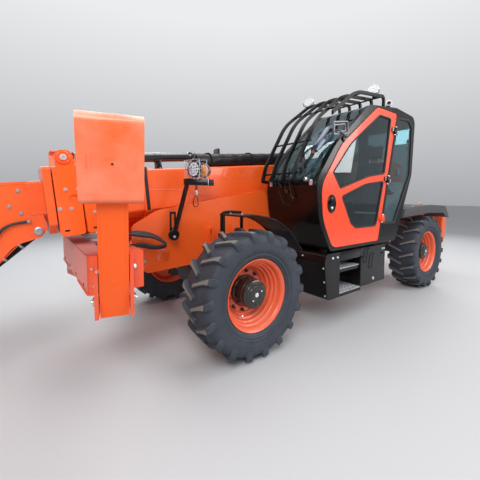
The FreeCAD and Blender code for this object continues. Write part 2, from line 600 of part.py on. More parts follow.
def cab():
    outer = plate("cab_outer", "side", cab_line, "cab_in", "cab_out")
    inner = plate("cab_inner", "side", inset(cab_line, s.cab_wall), "cab_in + cab_wall",
                  "cab_out - cab_wall")
    openings = [
        plate("door_hole", "side", inset(door_line, -s.door_gap), "cab_out - 80", "cab_out + 10"),
        plate("rear_hole", "side", rear_pane, "cab_out - 80", "cab_out + 10"),
        plate("right_hole", "side", right_pane, "cab_in - 10", "cab_in + 80"),
        block("front_hole", ("-40", "1200"), ("cab_in + post", "cab_out - post"), ("1640", "2800")),
        block("back_hole", ("-1300", "-900"), ("cab_in + post", "cab_out - post"), ("1350", "2480"))]
    shell = cut("cab_shell", outer, [inner] + openings)
    above = block("above_roof", ("-1400", "1300"), ("cab_in - 50", "cab_out + 50"),
                  ("roof_z", "roof_z + 400"))
    node("cab_roof", common("cab_roof", shell, above))
    node("cab_frame", cut("cab_frame", shell, [above]))


def cab_glass():
    bands = []
    for name in ("front", "back"):
        skin = plate(name + "_skin", "side", inset(cab_line, 6), "cab_in + post", "cab_out - post")
        core = plate(name + "_core", "side", inset(cab_line, 6 + s.glass_thick), "cab_in", "cab_out")
        bands.append(cut(name + "_band", skin, [core]))
    across = ("cab_in", "cab_out")
    zone = block("front_zone", ("-40", "1200"), across, ("1640", "2800"))
    node("windscreen", common("windscreen", bands[0], zone))
    zone = block("back_zone", ("-1300", "-900"), across, ("1350", "2480"))
    back = common("back_pane", bands[1], zone)
    rear = plate("rear_pane", "side", rear_pane, "cab_out - 10 - glass_thick", "cab_out - 10")
    right = plate("right_pane", "side", right_pane, "cab_in + 10", "cab_in + 10 + glass_thick")
    node("cab_glass", fuse("cab_glass", [back, rear, right]))


def door():
    skin = plate("door_skin", "side", door_line, "cab_out - door_thick", "cab_out", [upper_pane, lower_pane])
    handle = rod("door_handle", (815, s.cab_out - 5, 1400), (815, s.cab_out + 3, 1400), "52")
    lean = FreeCAD.Vector(-572 + 176, 0, 2590 - 920).normalize()
    foot = FreeCAD.Vector(-176, s.cab_out, 920)
    hinges = []
    for k, share in enumerate((0.17, 0.47, 0.86)):
        middle = foot + lean * (share * 1716)
        middle.y += 14
        hinges.append(rod("door_hinge_%d" % k, tuple(middle - lean * 38), tuple(middle + lean * 38),
                          "14.5"))
    node("door_frame", fuse("door_frame", [skin, handle] + hinges))
    panes = [plate("door_upper", "side", upper_pane, "cab_out - 12 - glass_thick", "cab_out - 12"),
             plate("door_lower", "side", lower_pane, "cab_out - 12 - glass_thick", "cab_out - 12")]
    node("door_glass", fuse("door_glass", panes))


def cab_inside():
    floor = s.cab_low + s.cab_wall
    cushion = [(-600, floor + 330, 30), (-600, floor + 430, 40), (-130, floor + 450, 50),
               (-110, floor + 350, 40)]
    backrest = [(-760, floor + 1050, 50), (-640, floor + 1060, 50), (-560, floor + 420, 40),
                (-640, floor + 400, 40)]
    base = block("seat_base", ("-560", "-180"), ("600", "940"),
                 ("cab_low + cab_wall", "cab_low + cab_wall + 340"))
    seat = fuse("seat", [plate("seat_cushion", "side", cushion, "525", "1015"),
                         plate("seat_back", "side", backrest, "535", "1005"), base])
    node("seat", seat)
    dash = [(690, floor, 30), (860, floor + 480, 60), (820, floor + 640, 60), (610, floor + 640, 60),
            (560, floor, 20)]
    stand = plate("dash", "side", dash, "cab_in + cab_wall + 120", "cab_out - cab_wall - 240")
    column = rod("steering_column", (640, 770, floor + 560), (430, 770, floor + 760), "30")
    wheel = doc.addObject("Part::Feature", "steering_wheel")
    wheel.Shape = ring([(194, -10), (194, 10), (184, 15), (170, 10), (170, -10), (180, -15)], 24)
    axis = FreeCAD.Vector(-210, 0, 200)
    wheel.Placement = FreeCAD.Placement(FreeCAD.Vector(430, 770, floor + 760),
                                        FreeCAD.Rotation(FreeCAD.Vector(0, 1, 0), axis))
    spoke = rod("steering_spoke", (430, 590, floor + 760), (430, 950, floor + 760), "12")
    node("console", fuse("console", [stand, column, wheel, spoke]))


# Falling-object guard: bent bars over the windscreen, x, z, corner radius
guard_line = [(960, 1620), (1205, 1640, 30), (1150, 1840, 300), (830, 2370, 600), (330, 2730, 500),
              (-330, 2800, 60), (-330, 2600)]


def guard():
    outer = guard_line
    inner = []
    for i, here in enumerate(outer[1:-1], 1):
        before, after = outer[i - 1], outer[i + 1]
        ax, az = here[0] - before[0], here[1] - before[1]
        bx, bz = after[0] - here[0], after[1] - here[1]
        la, lb = math.hypot(ax, az), math.hypot(bx, bz)
        na, nb = (-az / la, ax / la), (-bz / lb, bx / lb)
        share = s.guard_deep / (1 + na[0] * nb[0] + na[1] * nb[1])
        inner.append((here[0] + (na[0] + nb[0]) * share, here[1] + (na[1] + nb[1]) * share,
                      max(here[2] - s.guard_deep, 4)))
    first = (outer[0][0] + 10, outer[0][1] + s.guard_deep)
    last = (outer[-1][0] + s.guard_deep, outer[-1][1])
    bar = list(outer) + [last] + inner[::-1] + [first]
    pieces = []
    for k in range(5):
        low = "cab_in + 40 + %d * (cab_out - cab_in - 80 - guard_bar) / 4" % k
        pieces.append(plate("guard_bar_%d" % k, "side", bar, low, low + " + guard_bar"))
    # The two low cross tubes stop short of the door's side, as does the outer bar
    short = s.cab_out - 40 - s.guard_bar - 90
    for k, (x, z, end) in enumerate([(1158, 1735, short), (978, 2090, short), (628, 2493, s.cab_out - 42),
                                     (178, 2726, s.cab_out - 42), (-285, 2777, s.cab_out - 42)]):
        pieces.append(rod("guard_cross_%d" % k, (x, s.cab_in + 42, z), (x, end, z), "10"))
    trim = block("guard_trim", ("760", "1400"), ("cab_out - 60 - guard_bar", "cab_out"), ("1500", "2600"))
    reach = plate("guard_seat", "side", inset(cab_line, -s.run_gap), "cab_in - 5", "cab_out + 5")
    return node("cab_guard", cut("cab_guard", fuse("guard_bars", pieces), [reach, trim]))


def lamps():
    pieces = []
    # Work lamps on stems beside the guard's outer bars: x, y, z, foot of the stem, face of the bar
    first_bar = s.cab_in + 40 - s.run_gap
    last_bar = s.cab_out - 40 - s.guard_bar - s.run_gap
    for k, (x, y, z, foot, bar) in enumerate([(276, 350, 2787, 2704, first_bar),
                                              (-196, 1018, 2867, 2767, last_bar)]):
        pieces.append(rod("work_stem_%d" % k, (x, y, foot), (x, y, z - 40), "9"))
        pieces.append(rod("work_foot_%d" % k, (x, y - 11, foot), (x, bar, foot), "11"))
        pieces.append(rod("work_lamp_%d" % k, (x - 27, y, z - 3), (x + 27, y, z + 3), "62"))
    pieces.append(rod("beacon", (-560, 1040, 2666), (-560, 1040, 2790), "38"))
    return node("roof_lamps", fuse("roof_lamps", pieces))


def headlamps():
    pieces = []
    for side in (1, -1):
        mark = str(int(side > 0))
        near, far = ("plate_y + 70", "plate_y + 95")
        if side < 0:
            near, far = "-plate_y - 95", "-plate_y - 70"
        arm = [(2335, 1080, 30), (2275, 1080, 30), (2150, 1600, 10), (2205, 1612, 10)]
        pieces.append(plate("lamp_arm_" + mark, "side", arm, near, far))
        link = [(2350, 1085, 20), (2290, 1085, 20), (2290, 1330, 20), (2350, 1330, 20)]
        hole = [(2335, 1140, 14), (2305, 1140, 14), (2305, 1310, 14), (2335, 1310, 14)]
        near, far = ("plate_y + 60", "plate_y + 70.5")
        if side < 0:
            near, far = "-plate_y - 70.5", "-plate_y - 60"
        pieces.append(plate("lamp_link_" + mark, "side", link, near, far, [hole]))
        pieces.append(rod("lamp_pin_" + mark, (2310, side * (s.plate_y + 0.3), 1112),
                          (2310, side * (s.plate_y + 105), 1112), "24"))
        bar_y = ("plate_y + 50", "plate_y + 120")
        if side < 0:
            bar_y = ("-plate_y - 120", "-plate_y - 50")
        pieces.append(block("lamp_bracket_" + mark, ("1880", "2200"), bar_y, ("1590", "1655")))
        pieces.append(rod("lamp_led_" + mark, (2060, side * (s.plate_y + 110), 1745),
                          (2140, side * (s.plate_y + 125), 1745), "82"))
        pieces.append(rod("lamp_flash_" + mark, (1960, side * (s.plate_y + 100), 1735),
                          (2062, side * (s.plate_y + 112), 1742), "70"))
        pieces.append(rod("lamp_foot_" + mark, (2040, side * (s.plate_y + 100), 1640),
                          (2040, side * (s.plate_y + 100), 1700), "20"))
    return node("headlamps", fuse("headlamps", pieces))


def mirrors():
    # The left one hangs between the guard and the windscreen: corners x, z
    blade = [(632, 2256, 12), (694, 2288, 12), (1000, 1946, 12), (946, 1918, 12)]
    left = [plate("mirror_head", "side", blade, "cab_out - 185", "cab_out - 75"),
            rod("mirror_foot", (610, s.cab_out + s.run_gap, 2136), (610, s.cab_out + 48, 2136), "14"),
            rod("mirror_arm", (606, s.cab_out + 34, 2134), (752, s.cab_out + 34, 2193), "11.5"),
            rod("mirror_reach", (745, s.cab_out + 46, 2190), (745, s.cab_out - 90, 2190), "10")]
    top = s.pod_top + s.run_gap
    right = [rod("mirror_foot_right", (830, -900, top), (830, -900, top + 60), "19"),
             rod("mirror_arm_right", (830, -900, top + 34), (830, -1130, top + 290), "13"),
             block("mirror_head_right", ("805", "850"), ("-pod_out - 130", "-pod_out + 50"),
                   ("pod_top + 260", "pod_top + 560"))]
    return node("mirrors", fuse("mirrors", left + right))


# Boom, drawn level with its pivot at the origin, then lowered by its slope

boom_place = FreeCAD.Placement(FreeCAD.Vector(-s.pivot_x, 0, s.pivot_z),
                               FreeCAD.Rotation(FreeCAD.Vector(0, 1, 0), s.boom_slope))
pitch_in = s.boom_wall + s.section_gap
step_in_size = s.section_wall + s.section_gap


def section_size(k):
    # Outer width and height of section k, counted from the base
    if k == 0:
        return s.boom_wide, s.boom_high
    shrink = pitch_in + (k - 1) * step_in_size
    return s.boom_wide - 2 * shrink, s.boom_high - 2 * shrink


def tube_outline(wide, high, bend):
    return [(-wide / 2, high / 2, 22), (wide / 2, high / 2, 22), (wide / 2, bend - high / 2, 40),
            (wide / 2 - bend, -high / 2, 40), (bend - wide / 2, -high / 2, 40),
            (-wide / 2, bend - high / 2, 40)]


def boom_tube(name, k, low, high):
    wide, tall = section_size(k)
    wall = s.boom_wall if k == 0 else s.section_wall
    skin = tube_outline(wide, tall, s.boom_bend)
    return plate(name, "front", skin, low, high, [inset(skin, wall)])


def collar(name, k, low, high, out):
    # A band round section k that stands out from the base section's sides
    wide, tall = section_size(k)
    inner = tube_outline(wide - 2, tall - 2, s.boom_bend)
    outer = tube_outline(s.boom_wide + 2 * out, s.boom_high + 2 * out, s.boom_bend + out / 3)
    return plate(name, "front", outer, low, high, [inner])


def slide_pads(name, k, low, high):
    # Wear pads on section k that run on the inside of the one before
    wide, tall = section_size(k)
    reach = s.section_gap - s.run_gap
    pads = []
    for side in (1, -1):
        edge = side * wide / 2
        pads.append(plate(name + "_pad_y%d" % (side > 0), "front",
                          [(edge - side, -80), (edge + side * reach, -80), (edge + side * reach, 80),
                           (edge - side, 80)], low, high))
        edge = side * tall / 2
        pads.append(plate(name + "_pad_z%d" % (side > 0), "front",
                          [(-90, edge - side), (-90, edge + side * reach), (90, edge + side * reach),
                           (90, edge - side)], low, high))
    return pads


def boom():
    # Base section with its pivot boss, front collar and the ears of the lift cylinder
    base = [boom_tube("base_tube", 0, "-boom_rear", "boom_front"),
            collar("base_strap", 0, "boom_front - 600", "boom_front - 540", s.strap_thick),
            collar("base_mouth", 0, "boom_front - 130", "boom_front", s.collar_out),
            rod("pivot_boss", (0, s.boom_wide / 2 - 5, 0), (0, s.plate_y - s.plate_thick - s.run_gap, 0),
                "pivot_radius"),
            rod("pivot_boss_right", (0, 5 - s.boom_wide / 2, 0),
                (0, s.run_gap + s.plate_thick - s.plate_y, 0), "pivot_radius")]
    for side in (1, -1):
        low, high = ("70", "95") if side > 0 else ("-95", "-70")
        ear = [(lift_eye[0] - 190, 3 - s.boom_high / 2), (lift_eye[0] - 70, lift_eye[1] - 60, 60),
               (lift_eye[0] + 70, lift_eye[1] - 60, 60), (lift_eye[0] + 190, 3 - s.boom_high / 2)]
        base.append(plate("lift_ear_%d" % (side > 0), "side", ear, low, high))
    whole = fuse("boom_base", base)
    whole.Placement = boom_place
    node("boom_base", whole)
    for k, reach in enumerate(("two", "three", "four"), 1):
        name = "boom_section_%d" % (k + 1)
        rear = "section_rear + %d" % (150 * (k - 1))
        front = "boom_front + reach_" + reach
        pieces = [boom_tube(name + "_tube", k, rear, front)]
        pieces += slide_pads(name, k, rear, rear + " + 160")
        if k == 1:
            pieces.append(collar(name + "_collar", k, front + " - collar_long", front, s.collar_out))
            pieces.append(hose_bracket())
        elif k == 2:
            pieces.append(collar(name + "_collar", k, front + " - collar_short", front, s.collar_out))
        else:
            pieces += head()
        welded = fuse(name, pieces) if k < 3 else cut(name, fuse(name + "_welded", pieces), head_bores())
        welded.Placement = boom_place
        node(name, welded)


def hose_bracket():
    # The rounded ear on section 2 that leads the hoses in
    back = s.boom_front + s.reach_two - s.collar_long + 10
    top = s.boom_high / 2 + s.collar_out - 5
    ear = [(back, top), (back, s.carrier_high + 70, 60), (back + 140, s.carrier_high + 70, 60),
           (back + 140, top)]
    return plate("hose_bracket", "side", ear, "carrier_y - 55", "carrier_y + 55")


def hose_carrier():
    # The hoses' bundle along the boom's top: a soft sleeve behind, a smooth tube in front
    low = s.boom_high / 2 + s.run_gap
    half = 110
    bundle = [(s.carrier_y - half, low, 40), (s.carrier_y + half, low, 40),
              (s.carrier_y + half, low + 163, 70), (s.carrier_y - half, low + 163, 70)]
    split = 4200
    pieces = [plate("sleeve", "front", bundle, "200", "%d" % split),
              rod("carrier_tube", (split - 10, s.carrier_y, s.carrier_high),
                  (s.boom_front - 5, s.carrier_y, s.carrier_high), "carrier_radius")]
    for k, x in enumerate((4600, 5180)):
        pieces.append(block("carrier_saddle_%d" % k, ("%d" % x, "%d" % (x + 50)),
                            ("carrier_y - 40", "carrier_y + 40"),
                            ("boom_high / 2 + run_gap", "carrier_high - 30")))
    whole = fuse("hose_carrier", pieces)
    whole.Placement = boom_place
    return node("hose_carrier", whole)


def head():
    # Two cheek plates that carry the carriage below the last section
    wide, tall = section_size(3)
    start = s.boom_front + s.reach_four
    cheek = [(start - 20, tall / 2), (start + 270, tall / 2, 90), (s.head_x + 95, -s.head_drop + 140, 200),
             (s.head_x + 75, -s.head_drop - 75, 72), (s.head_x - 85, -s.head_drop - 75, 72),
             (s.head_x - 130, -s.head_drop + 160, 200),
             (s.tilt_base_x + 170, -s.tilt_base_drop - 90, 150),
             (s.tilt_base_x - 10, -s.tilt_base_drop - 55, 40),
             (s.tilt_base_x - 58, -s.tilt_base_drop, 40), (s.tilt_base_x - 58, 2 - tall / 2)]
    pieces = []
    for side in (1, -1):
        low, high = ("head_half - head_plate", "head_half")
        if side < 0:
            low, high = "-head_half", "head_plate - head_half"
        pieces.append(plate("head_cheek_%d" % (side > 0), "side", cheek, low, high))
    top = [(start - 20, tall / 2 - 14), (start - 20, tall / 2), (start + 225, tall / 2),
           (start + 225, tall / 2 - 14)]
    pieces.append(plate("head_cover", "side", top, "4 - head_half", "head_half - 4"))
    nose = [(start + 250, tall / 2 - 40), (start + 262, tall / 2 - 50),
            (s.head_x + 30, -s.head_drop + 260),
            (s.head_x + 18, -s.head_drop + 255)]
    pieces.append(plate("head_nose", "side", nose, "4 - head_half", "head_half - 4"))
    pieces.append(rod("tilt_pin", (s.tilt_base_x, 4 - s.head_half, -s.tilt_base_drop),
                      (s.tilt_base_x, s.head_half - 4, -s.tilt_base_drop), "22"))
    return pieces


def head_bores():
    return [rod("head_bore", (s.head_x, -s.head_half - 5, -s.head_drop),
                (s.head_x, s.head_half + 5, -s.head_drop), "32 + run_gap")]


def in_boom(x, z):
    # A point of the side view seen from the level boom
    angle = math.radians(s.boom_slope)
    dx, dz = x + s.pivot_x, z - s.pivot_z
    return dx * math.cos(angle) - dz * math.sin(angle), dx * math.sin(angle) + dz * math.cos(angle)


def from_boom(x, z):
    angle = math.radians(s.boom_slope)
    return (x * math.cos(angle) + z * math.sin(angle) - s.pivot_x,
            z * math.cos(angle) - x * math.sin(angle) + s.pivot_z)


lift_eye = in_boom(s.lift_eye_x, s.lift_eye_z)
tilt_pivot = from_boom(s.head_x, -s.head_drop)
tilt_base = from_boom(s.tilt_base_x, -s.tilt_base_drop)
tilt_eye = (tilt_pivot[0] - s.eye_back, tilt_pivot[1] + s.eye_up)


def cylinder(name, foot, eye, share, spare, radius, bar, pin, half):
    # Barrel from the foot's pin, rod out to the eye; share is the barrel's part of the
    # length, spare the way the rod can still go in
    run = FreeCAD.Vector(eye[0] - foot[0], 0, eye[1] - foot[1])
    way = FreeCAD.Vector(run).normalize()
    start = FreeCAD.Vector(foot[0], 0, foot[1])
    end = start + way * (run.Length * share)
    tip = FreeCAD.Vector(eye[0], 0, eye[1])
    clear = way * (pin_size[pin] + 40)
    barrel = fuse(name + "_barrel_joined",
                  [rod(name + "_tube", tuple(start + clear), tuple(end), radius),
                   rod(name + "_gland", tuple(end - way * 60), tuple(end), radius + " + 9"),
                   rod(name + "_neck", tuple(start), tuple(start + clear * 1.1), radius + " * 0.6"),
                   rod(name + "_foot", (foot[0], -half, foot[1]), (foot[0], half, foot[1]), pin + " + 26")])
    bore = rod(name + "_foot_bore", (foot[0], -half - 5, foot[1]), (foot[0], half + 5, foot[1]),
               pin + " + run_gap")
    room = rod(name + "_room", tuple(start + clear * 1.1 + way * 5), tuple(end + way * 5),
               bar + " + run_gap")
    node(name + "_cylinder", cut(name + "_cylinder", barrel, [bore, room]))
    inner_end = start + clear * 1.1 + way * (10 + spare)
    node(name + "_rod", fuse(name + "_rod",
                             [rod(name + "_bar", tuple(inner_end), tuple(tip), bar),
                              rod(name + "_eye", (eye[0], 10 - half, eye[1]), (eye[0], half - 10, eye[1]),
                                  bar + " + 20")]))


pin_size = {"lift_pin": s.lift_pin, "22": 22}


def carriage():
    x, z = tilt_pivot
    face = x + s.carriage_out
    cheek = [(x - 70, z - 70, 66), (x - 95, z + 265, 50), (x - 10, z + 330, 40),
             (face + 5, z + s.carriage_top), (face + 5, z - s.carriage_low),
             (face - 60, z - s.carriage_low, 20), (x + 70, z - 90, 60)]
    pieces = []
    for side in (1, -1):
        low, high = ("head_half + move_gap", "head_half + move_gap + 22")
        if side < 0:
            low, high = "-head_half - move_gap - 22", "-head_half - move_gap"
        pieces.append(plate("carriage_cheek_%d" % (side > 0), "side", cheek, low, high))
        low, high = ("42", "64") if side > 0 else ("-64", "-42")
        lug = [(tilt_eye[0] - 45, tilt_eye[1] - 45, 40), (tilt_eye[0] - 45, tilt_eye[1] + 45, 40),
               (face + 12, z + 228), (face + 12, z + 90)]
        pieces.append(plate("carriage_lug_%d" % (side > 0), "side", lug, low, high))
    pieces.append(rod("carriage_pin", (x, -s.head_half - s.move_gap - 30, z),
                      (x, s.head_half + s.move_gap + 30, z), "32"))
    wide = s.carriage_wide / 2
    bars = [(z + s.carriage_top - s.bar_high, z + s.carriage_top),
            (z - s.carriage_low, s.bar_high + z - s.carriage_low)]
    for k, (low, high) in enumerate(bars):
        shape = [(face, low), (face, high), (face + s.bar_deep, high), (face + s.bar_deep, low)]
        pieces.append(plate("carriage_bar_%d" % k, "side", shape, "-carriage_wide / 2", "carriage_wide / 2"))
    for k, y in enumerate((-wide, -s.head_half - 60, s.head_half + 40, wide - 20)):
        shape = [(face, bars[1][0]), (face, bars[0][1]), (face + s.bar_deep, bars[0][1]),
                 (face + s.bar_deep, bars[1][0])]
        pieces.append(plate("carriage_post_%d" % k, "side", shape, "%f" % y, "%f" % (y + 20)))
    node("fork_carriage", fuse("fork_carriage", pieces))
    back = face + s.bar_deep + s.run_gap
    low = s.fork_z
    tine = [(back, low + 20, 18), (back, bars[0][1] + 6), (back - 30, bars[0][1] + 6),
            (back - 30, bars[0][1] + 26), (back + s.fork_thick, bars[0][1] + 26, 10),
            (back + s.fork_thick, low + s.fork_thick, 12),
            (back + s.fork_long, low + s.tine_tip), (back + s.fork_long, low), (back + 30, low, 25)]
    forks = []
    for side in (1, -1):
        low_y, high_y = ("fork_half - fork_wide / 2", "fork_half + fork_wide / 2")
        if side < 0:
            low_y, high_y = "-fork_half - fork_wide / 2", "fork_wide / 2 - fork_half"
        forks.append(plate("fork_%d" % (side > 0), "side", tine, low_y, high_y))
    node("forks", fuse("forks", forks))
    return back + s.fork_long


wheels()
axle("front_axle", 1)
axle("rear_axle", -1)
for corner, end, side in corners:
    knuckle(corner, end, side)
front_fenders()
chassis()
crossbeam()
stabiliser(1)
stabiliser(-1)
engine()
hood()
tail()
rear_fenders()
steps()
cab()
cab_glass()
door()
cab_inside()
guard()
lamps()
headlamps()
mirrors()
boom()
hose_carrier()
cylinder("lift", (-s.lift_base_x, s.lift_base_z), (s.lift_eye_x, s.lift_eye_z), 0.9, 5,
         "lift_radius", "lift_rod", "lift_pin", 60)
cylinder("tilt", tilt_base, tilt_eye, 0.82, 35, "tilt_radius", "tilt_rod", "22", 36)
fork_tip = carriage()

doc.recompute()

# The origin goes under the middle of the length
rear_end = s.tail_x + 90
shift = FreeCAD.Placement(FreeCAD.Vector((rear_end - fork_tip) / 2, 0, 0), FreeCAD.Rotation())
for piece in nodes.values():
    if piece.TypeId != "Part::Mirroring":
        piece.Placement = shift.multiply(piece.Placement)
doc.recompute()

for item in doc.Objects:
    if "Invalid" in item.State or "Error" in item.State:
        raise RuntimeError("failed: " + item.Label)
bad = [name for name, piece in nodes.items() if piece.Shape.isNull() or not piece.Shape.isValid()]
if bad:
    raise RuntimeError("bad shapes: " + ", ".join(bad))
for name, piece in nodes.items():
    piece.Shape.exportStep("parts/" + name + ".step")
print("wheelbase middle at x", (rear_end - fork_tip) / 2)
print("tilt pivot", tilt_pivot, "tilt foot", tilt_base, "tilt eye", tilt_eye, "fork tip", fork_tip)
print(len(nodes), "sub-parts")
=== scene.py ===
# Telehandler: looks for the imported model, built round its frame.
# Metres, X forward, Y left, Z up. at() counts X from the middle of the wheelbase.
import random
from math import acos, copysign, cos, hypot, pi, radians, sin, sqrt, tan

import bmesh
import bpy
from mathutils import Matrix, Vector


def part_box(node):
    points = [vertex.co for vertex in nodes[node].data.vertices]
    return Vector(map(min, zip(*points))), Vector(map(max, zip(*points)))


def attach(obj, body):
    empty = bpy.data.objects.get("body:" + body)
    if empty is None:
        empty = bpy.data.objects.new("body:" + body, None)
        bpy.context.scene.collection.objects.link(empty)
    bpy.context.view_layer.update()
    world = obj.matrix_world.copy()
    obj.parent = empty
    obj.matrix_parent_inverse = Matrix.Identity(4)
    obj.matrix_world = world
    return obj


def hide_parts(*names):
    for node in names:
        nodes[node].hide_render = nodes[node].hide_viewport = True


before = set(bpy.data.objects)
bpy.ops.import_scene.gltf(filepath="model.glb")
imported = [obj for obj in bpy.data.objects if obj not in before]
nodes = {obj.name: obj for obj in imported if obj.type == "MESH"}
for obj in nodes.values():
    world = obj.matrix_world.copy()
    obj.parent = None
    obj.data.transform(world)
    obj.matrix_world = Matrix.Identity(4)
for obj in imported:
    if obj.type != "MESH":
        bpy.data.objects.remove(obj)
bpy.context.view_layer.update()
scene = bpy.context.scene


def middle(node):
    low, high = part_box(node)
    return (low + high) / 2


midX = (middle("rim_front_left").x + middle("rim_rear_left").x) / 2


def at(x, y, z):
    return Vector((midX + x, y, z))


def moved(x, y, z):
    return Matrix.Translation((x, y, z))


def movedAt(x, y, z):
    return Matrix.Translation(at(x, y, z))


def turned(angle, axis):
    return Matrix.Rotation(angle, 4, axis)


def polar(radius, angle, along):
    return Vector((radius * cos(angle), radius * sin(angle), along))


def frameFrom(x, y, z, origin):
    return Matrix(((*x, 0), (*y, 0), (*z, 0), (*origin, 1))).transposed()


print("stage: frame loaded")

# Camera at the photograph's place

view = {"place": (3.484, 3.078, 1.479), "yaw": 36.73, "pitch": 3.43, "roll": 0.23, "lens": 21.82,
    "sensor": 36.0, "shiftY": -26 / 480}


def makeCamera():
    data = bpy.data.cameras.new("photoCamera")
    data.lens = view["lens"]
    data.sensor_width = view["sensor"]
    data.sensor_fit = "HORIZONTAL"
    data.shift_y = view["shiftY"]
    data.clip_start = 0.05
    data.clip_end = 200
    camera = bpy.data.objects.new("photoCamera", data)
    scene.collection.objects.link(camera)
    yaw, pitch = radians(view["yaw"]), radians(view["pitch"])
    forward = Vector((-sin(yaw) * cos(pitch), -cos(yaw) * cos(pitch), -sin(pitch)))
    turn = forward.to_track_quat("-Z", "Y").to_matrix()
    turn = turn @ Matrix.Rotation(radians(view["roll"]), 3, "Z")
    camera.matrix_world = movedAt(*view["place"]) @ turn.to_4x4()
    scene.camera = camera


makeCamera()

# Light: a pale room with soft lamps overhead and to the front

light = {"worldColour": (0.93, 0.95, 1.0), "worldPower": 0.44, "floorColour": (0.52, 0.53, 0.54),
    "backdrop": [(0.42, (0.3, 0.31, 0.33, 1)), (0.75, (0.93, 0.94, 0.96, 1))], "backdropPower": 0.9,
    "lamps": [("keyLamp", (5.5, 5.0, 6.0), (4.0, 4.0), 370),
        ("fillLamp", (-4.0, 6.5, 3.8), (5.0, 3.0), 260),
        ("topLamp", (0.0, 0.0, 8.0), (9.0, 3.0), 330),
        ("farLamp", (2.0, -7.0, 5.0), (6.0, 3.0), 260),
        ("rearLamp", (-8.5, -1.0, 5.0), (4.0, 3.0), 200)]}


def plug(tree, made, values):
    # Each socket gets a link or a plain value
    for socket, value in values:
        if isinstance(value, bpy.types.NodeSocket):
            tree.links.new(value, made.inputs[socket])
        else:
            made.inputs[socket].default_value = value


def node(tree, kind, sockets=(), **values):
    made = tree.nodes.new(kind)
    for key, value in values.items():
        setattr(made, key, value)
    plug(tree, made, sockets)
    return made


def maths(tree, operation, *values, **more):
    return node(tree, "ShaderNodeMath", enumerate(values), operation=operation, **more).outputs[0]


def makeLight():
    world = bpy.data.worlds.new("room")
    scene.world = world
    world.use_nodes = True
    tree = world.node_tree
    tree.nodes.clear()
    coords = node(tree, "ShaderNodeTexCoord")
    split = node(tree, "ShaderNodeSeparateXYZ", [(0, coords.outputs["Generated"])])
    half = node(tree, "ShaderNodeMapRange", [("Value", split.outputs["Z"]), ("From Min", -1)])
    ramp = node(tree, "ShaderNodeValToRGB", [("Fac", half.outputs["Result"])])
    for stop, (place, colour) in zip(ramp.color_ramp.elements, light["backdrop"]):
        stop.position = place
        stop.color = colour
    # The camera sees the backdrop, and the machine is lit by one plain colour
    lit = node(tree, "ShaderNodeBackground", [("Color", light["worldColour"] + (1,)),
        ("Strength", light["worldPower"])])
    seen = node(tree, "ShaderNodeBackground", [("Color", ramp.outputs["Color"]),
        ("Strength", light["backdropPower"])])
    path = node(tree, "ShaderNodeLightPath")
    either = maths(tree, "MAXIMUM", path.outputs["Is Camera Ray"], path.outputs["Is Transmission Ray"])
    mix = node(tree, "ShaderNodeMixShader", [("Fac", either), (1, lit.outputs[0]), (2, seen.outputs[0])])
    node(tree, "ShaderNodeOutputWorld", [("Surface", mix.outputs[0])])
    target = at(0.6, 0, 0.9)
    for name, place, size, power in light["lamps"]:
        data = bpy.data.lights.new(name, "AREA")
        data.shape = "RECTANGLE"
        data.size, data.size_y = size
        data.energy = power
        lamp = bpy.data.objects.new(name, data)
        scene.collection.objects.link(lamp)
        lamp.location = at(*place)
        lamp.rotation_euler = (target - lamp.location).to_track_quat("-Z", "Y").to_euler()
    scene.view_settings.view_transform = "Standard"


makeLight()
print("stage: camera and light")

# Node groups that several finishes share


def group(name, inputs, outputs):
    tree = bpy.data.node_groups.new(name, "ShaderNodeTree")
    for label, kind, value in inputs:
        socket = tree.interface.new_socket(name=label, in_out="INPUT", socket_type="NodeSocket" + kind)
        socket.default_value = value
    for label, kind in outputs:
        tree.interface.new_socket(name=label, in_out="OUTPUT", socket_type="NodeSocket" + kind)
    return tree, tree.nodes.new("NodeGroupInput"), tree.nodes.new("NodeGroupOutput")


def dustAndSheenGroup():
    # Dust settles on what faces up and low down, in soft patches; on the pads and tyres these patches also
    # carry a painted sheen
    tree, start, end = group("dustAndSheenLayer", [("Base", "Color", (0.8, 0.8, 0.8, 1)),
        ("Dust And Sheen Colour", "Color", (0.35, 0.3, 0.25, 1)), ("Amount", "Float", 0.2),
        ("Patch Size", "Float", 3.0)], [("Colour", "Color"), ("Mask", "Float")])
    coords = node(tree, "ShaderNodeTexCoord").outputs["Object"]
    geometry = node(tree, "ShaderNodeNewGeometry")
    facing = node(tree, "ShaderNodeSeparateXYZ", [(0, geometry.outputs["Normal"])])
    height = node(tree, "ShaderNodeSeparateXYZ", [(0, coords)])
    patches = node(tree, "ShaderNodeTexNoise", [("Vector", coords), ("Scale", start.outputs["Patch Size"]),
        ("Detail", 7.0), ("Roughness", 0.62)])
    up = node(tree, "ShaderNodeMapRange", [("Value", facing.outputs["Z"]), ("From Min", 0.25),
        ("From Max", 1.0), ("To Max", 0.75)])
    low = node(tree, "ShaderNodeMapRange", [("Value", height.outputs["Z"]), ("From Min", 1.1),
        ("From Max", 0.1), ("To Max", 0.5)])
    spread = node(tree, "ShaderNodeMapRange", [("Value", patches.outputs["Fac"]), ("From Min", 0.32),
        ("From Max", 0.72)])
    some = maths(tree, "ADD", maths(tree, "ADD", up.outputs[0], low.outputs[0]), 0.18)
    patchWeight = maths(tree, "MULTIPLY", some, spread.outputs[0])
    mask = maths(tree, "MULTIPLY", patchWeight, start.outputs["Amount"], use_clamp=True)
    mixed = node(tree, "ShaderNodeMix", [("Factor", mask), (6, start.outputs["Base"]),
        (7, start.outputs["Dust And Sheen Colour"])], data_type="RGBA")
    plug(tree, end, [("Colour", mixed.outputs[2]), ("Mask", mask)])
    return tree


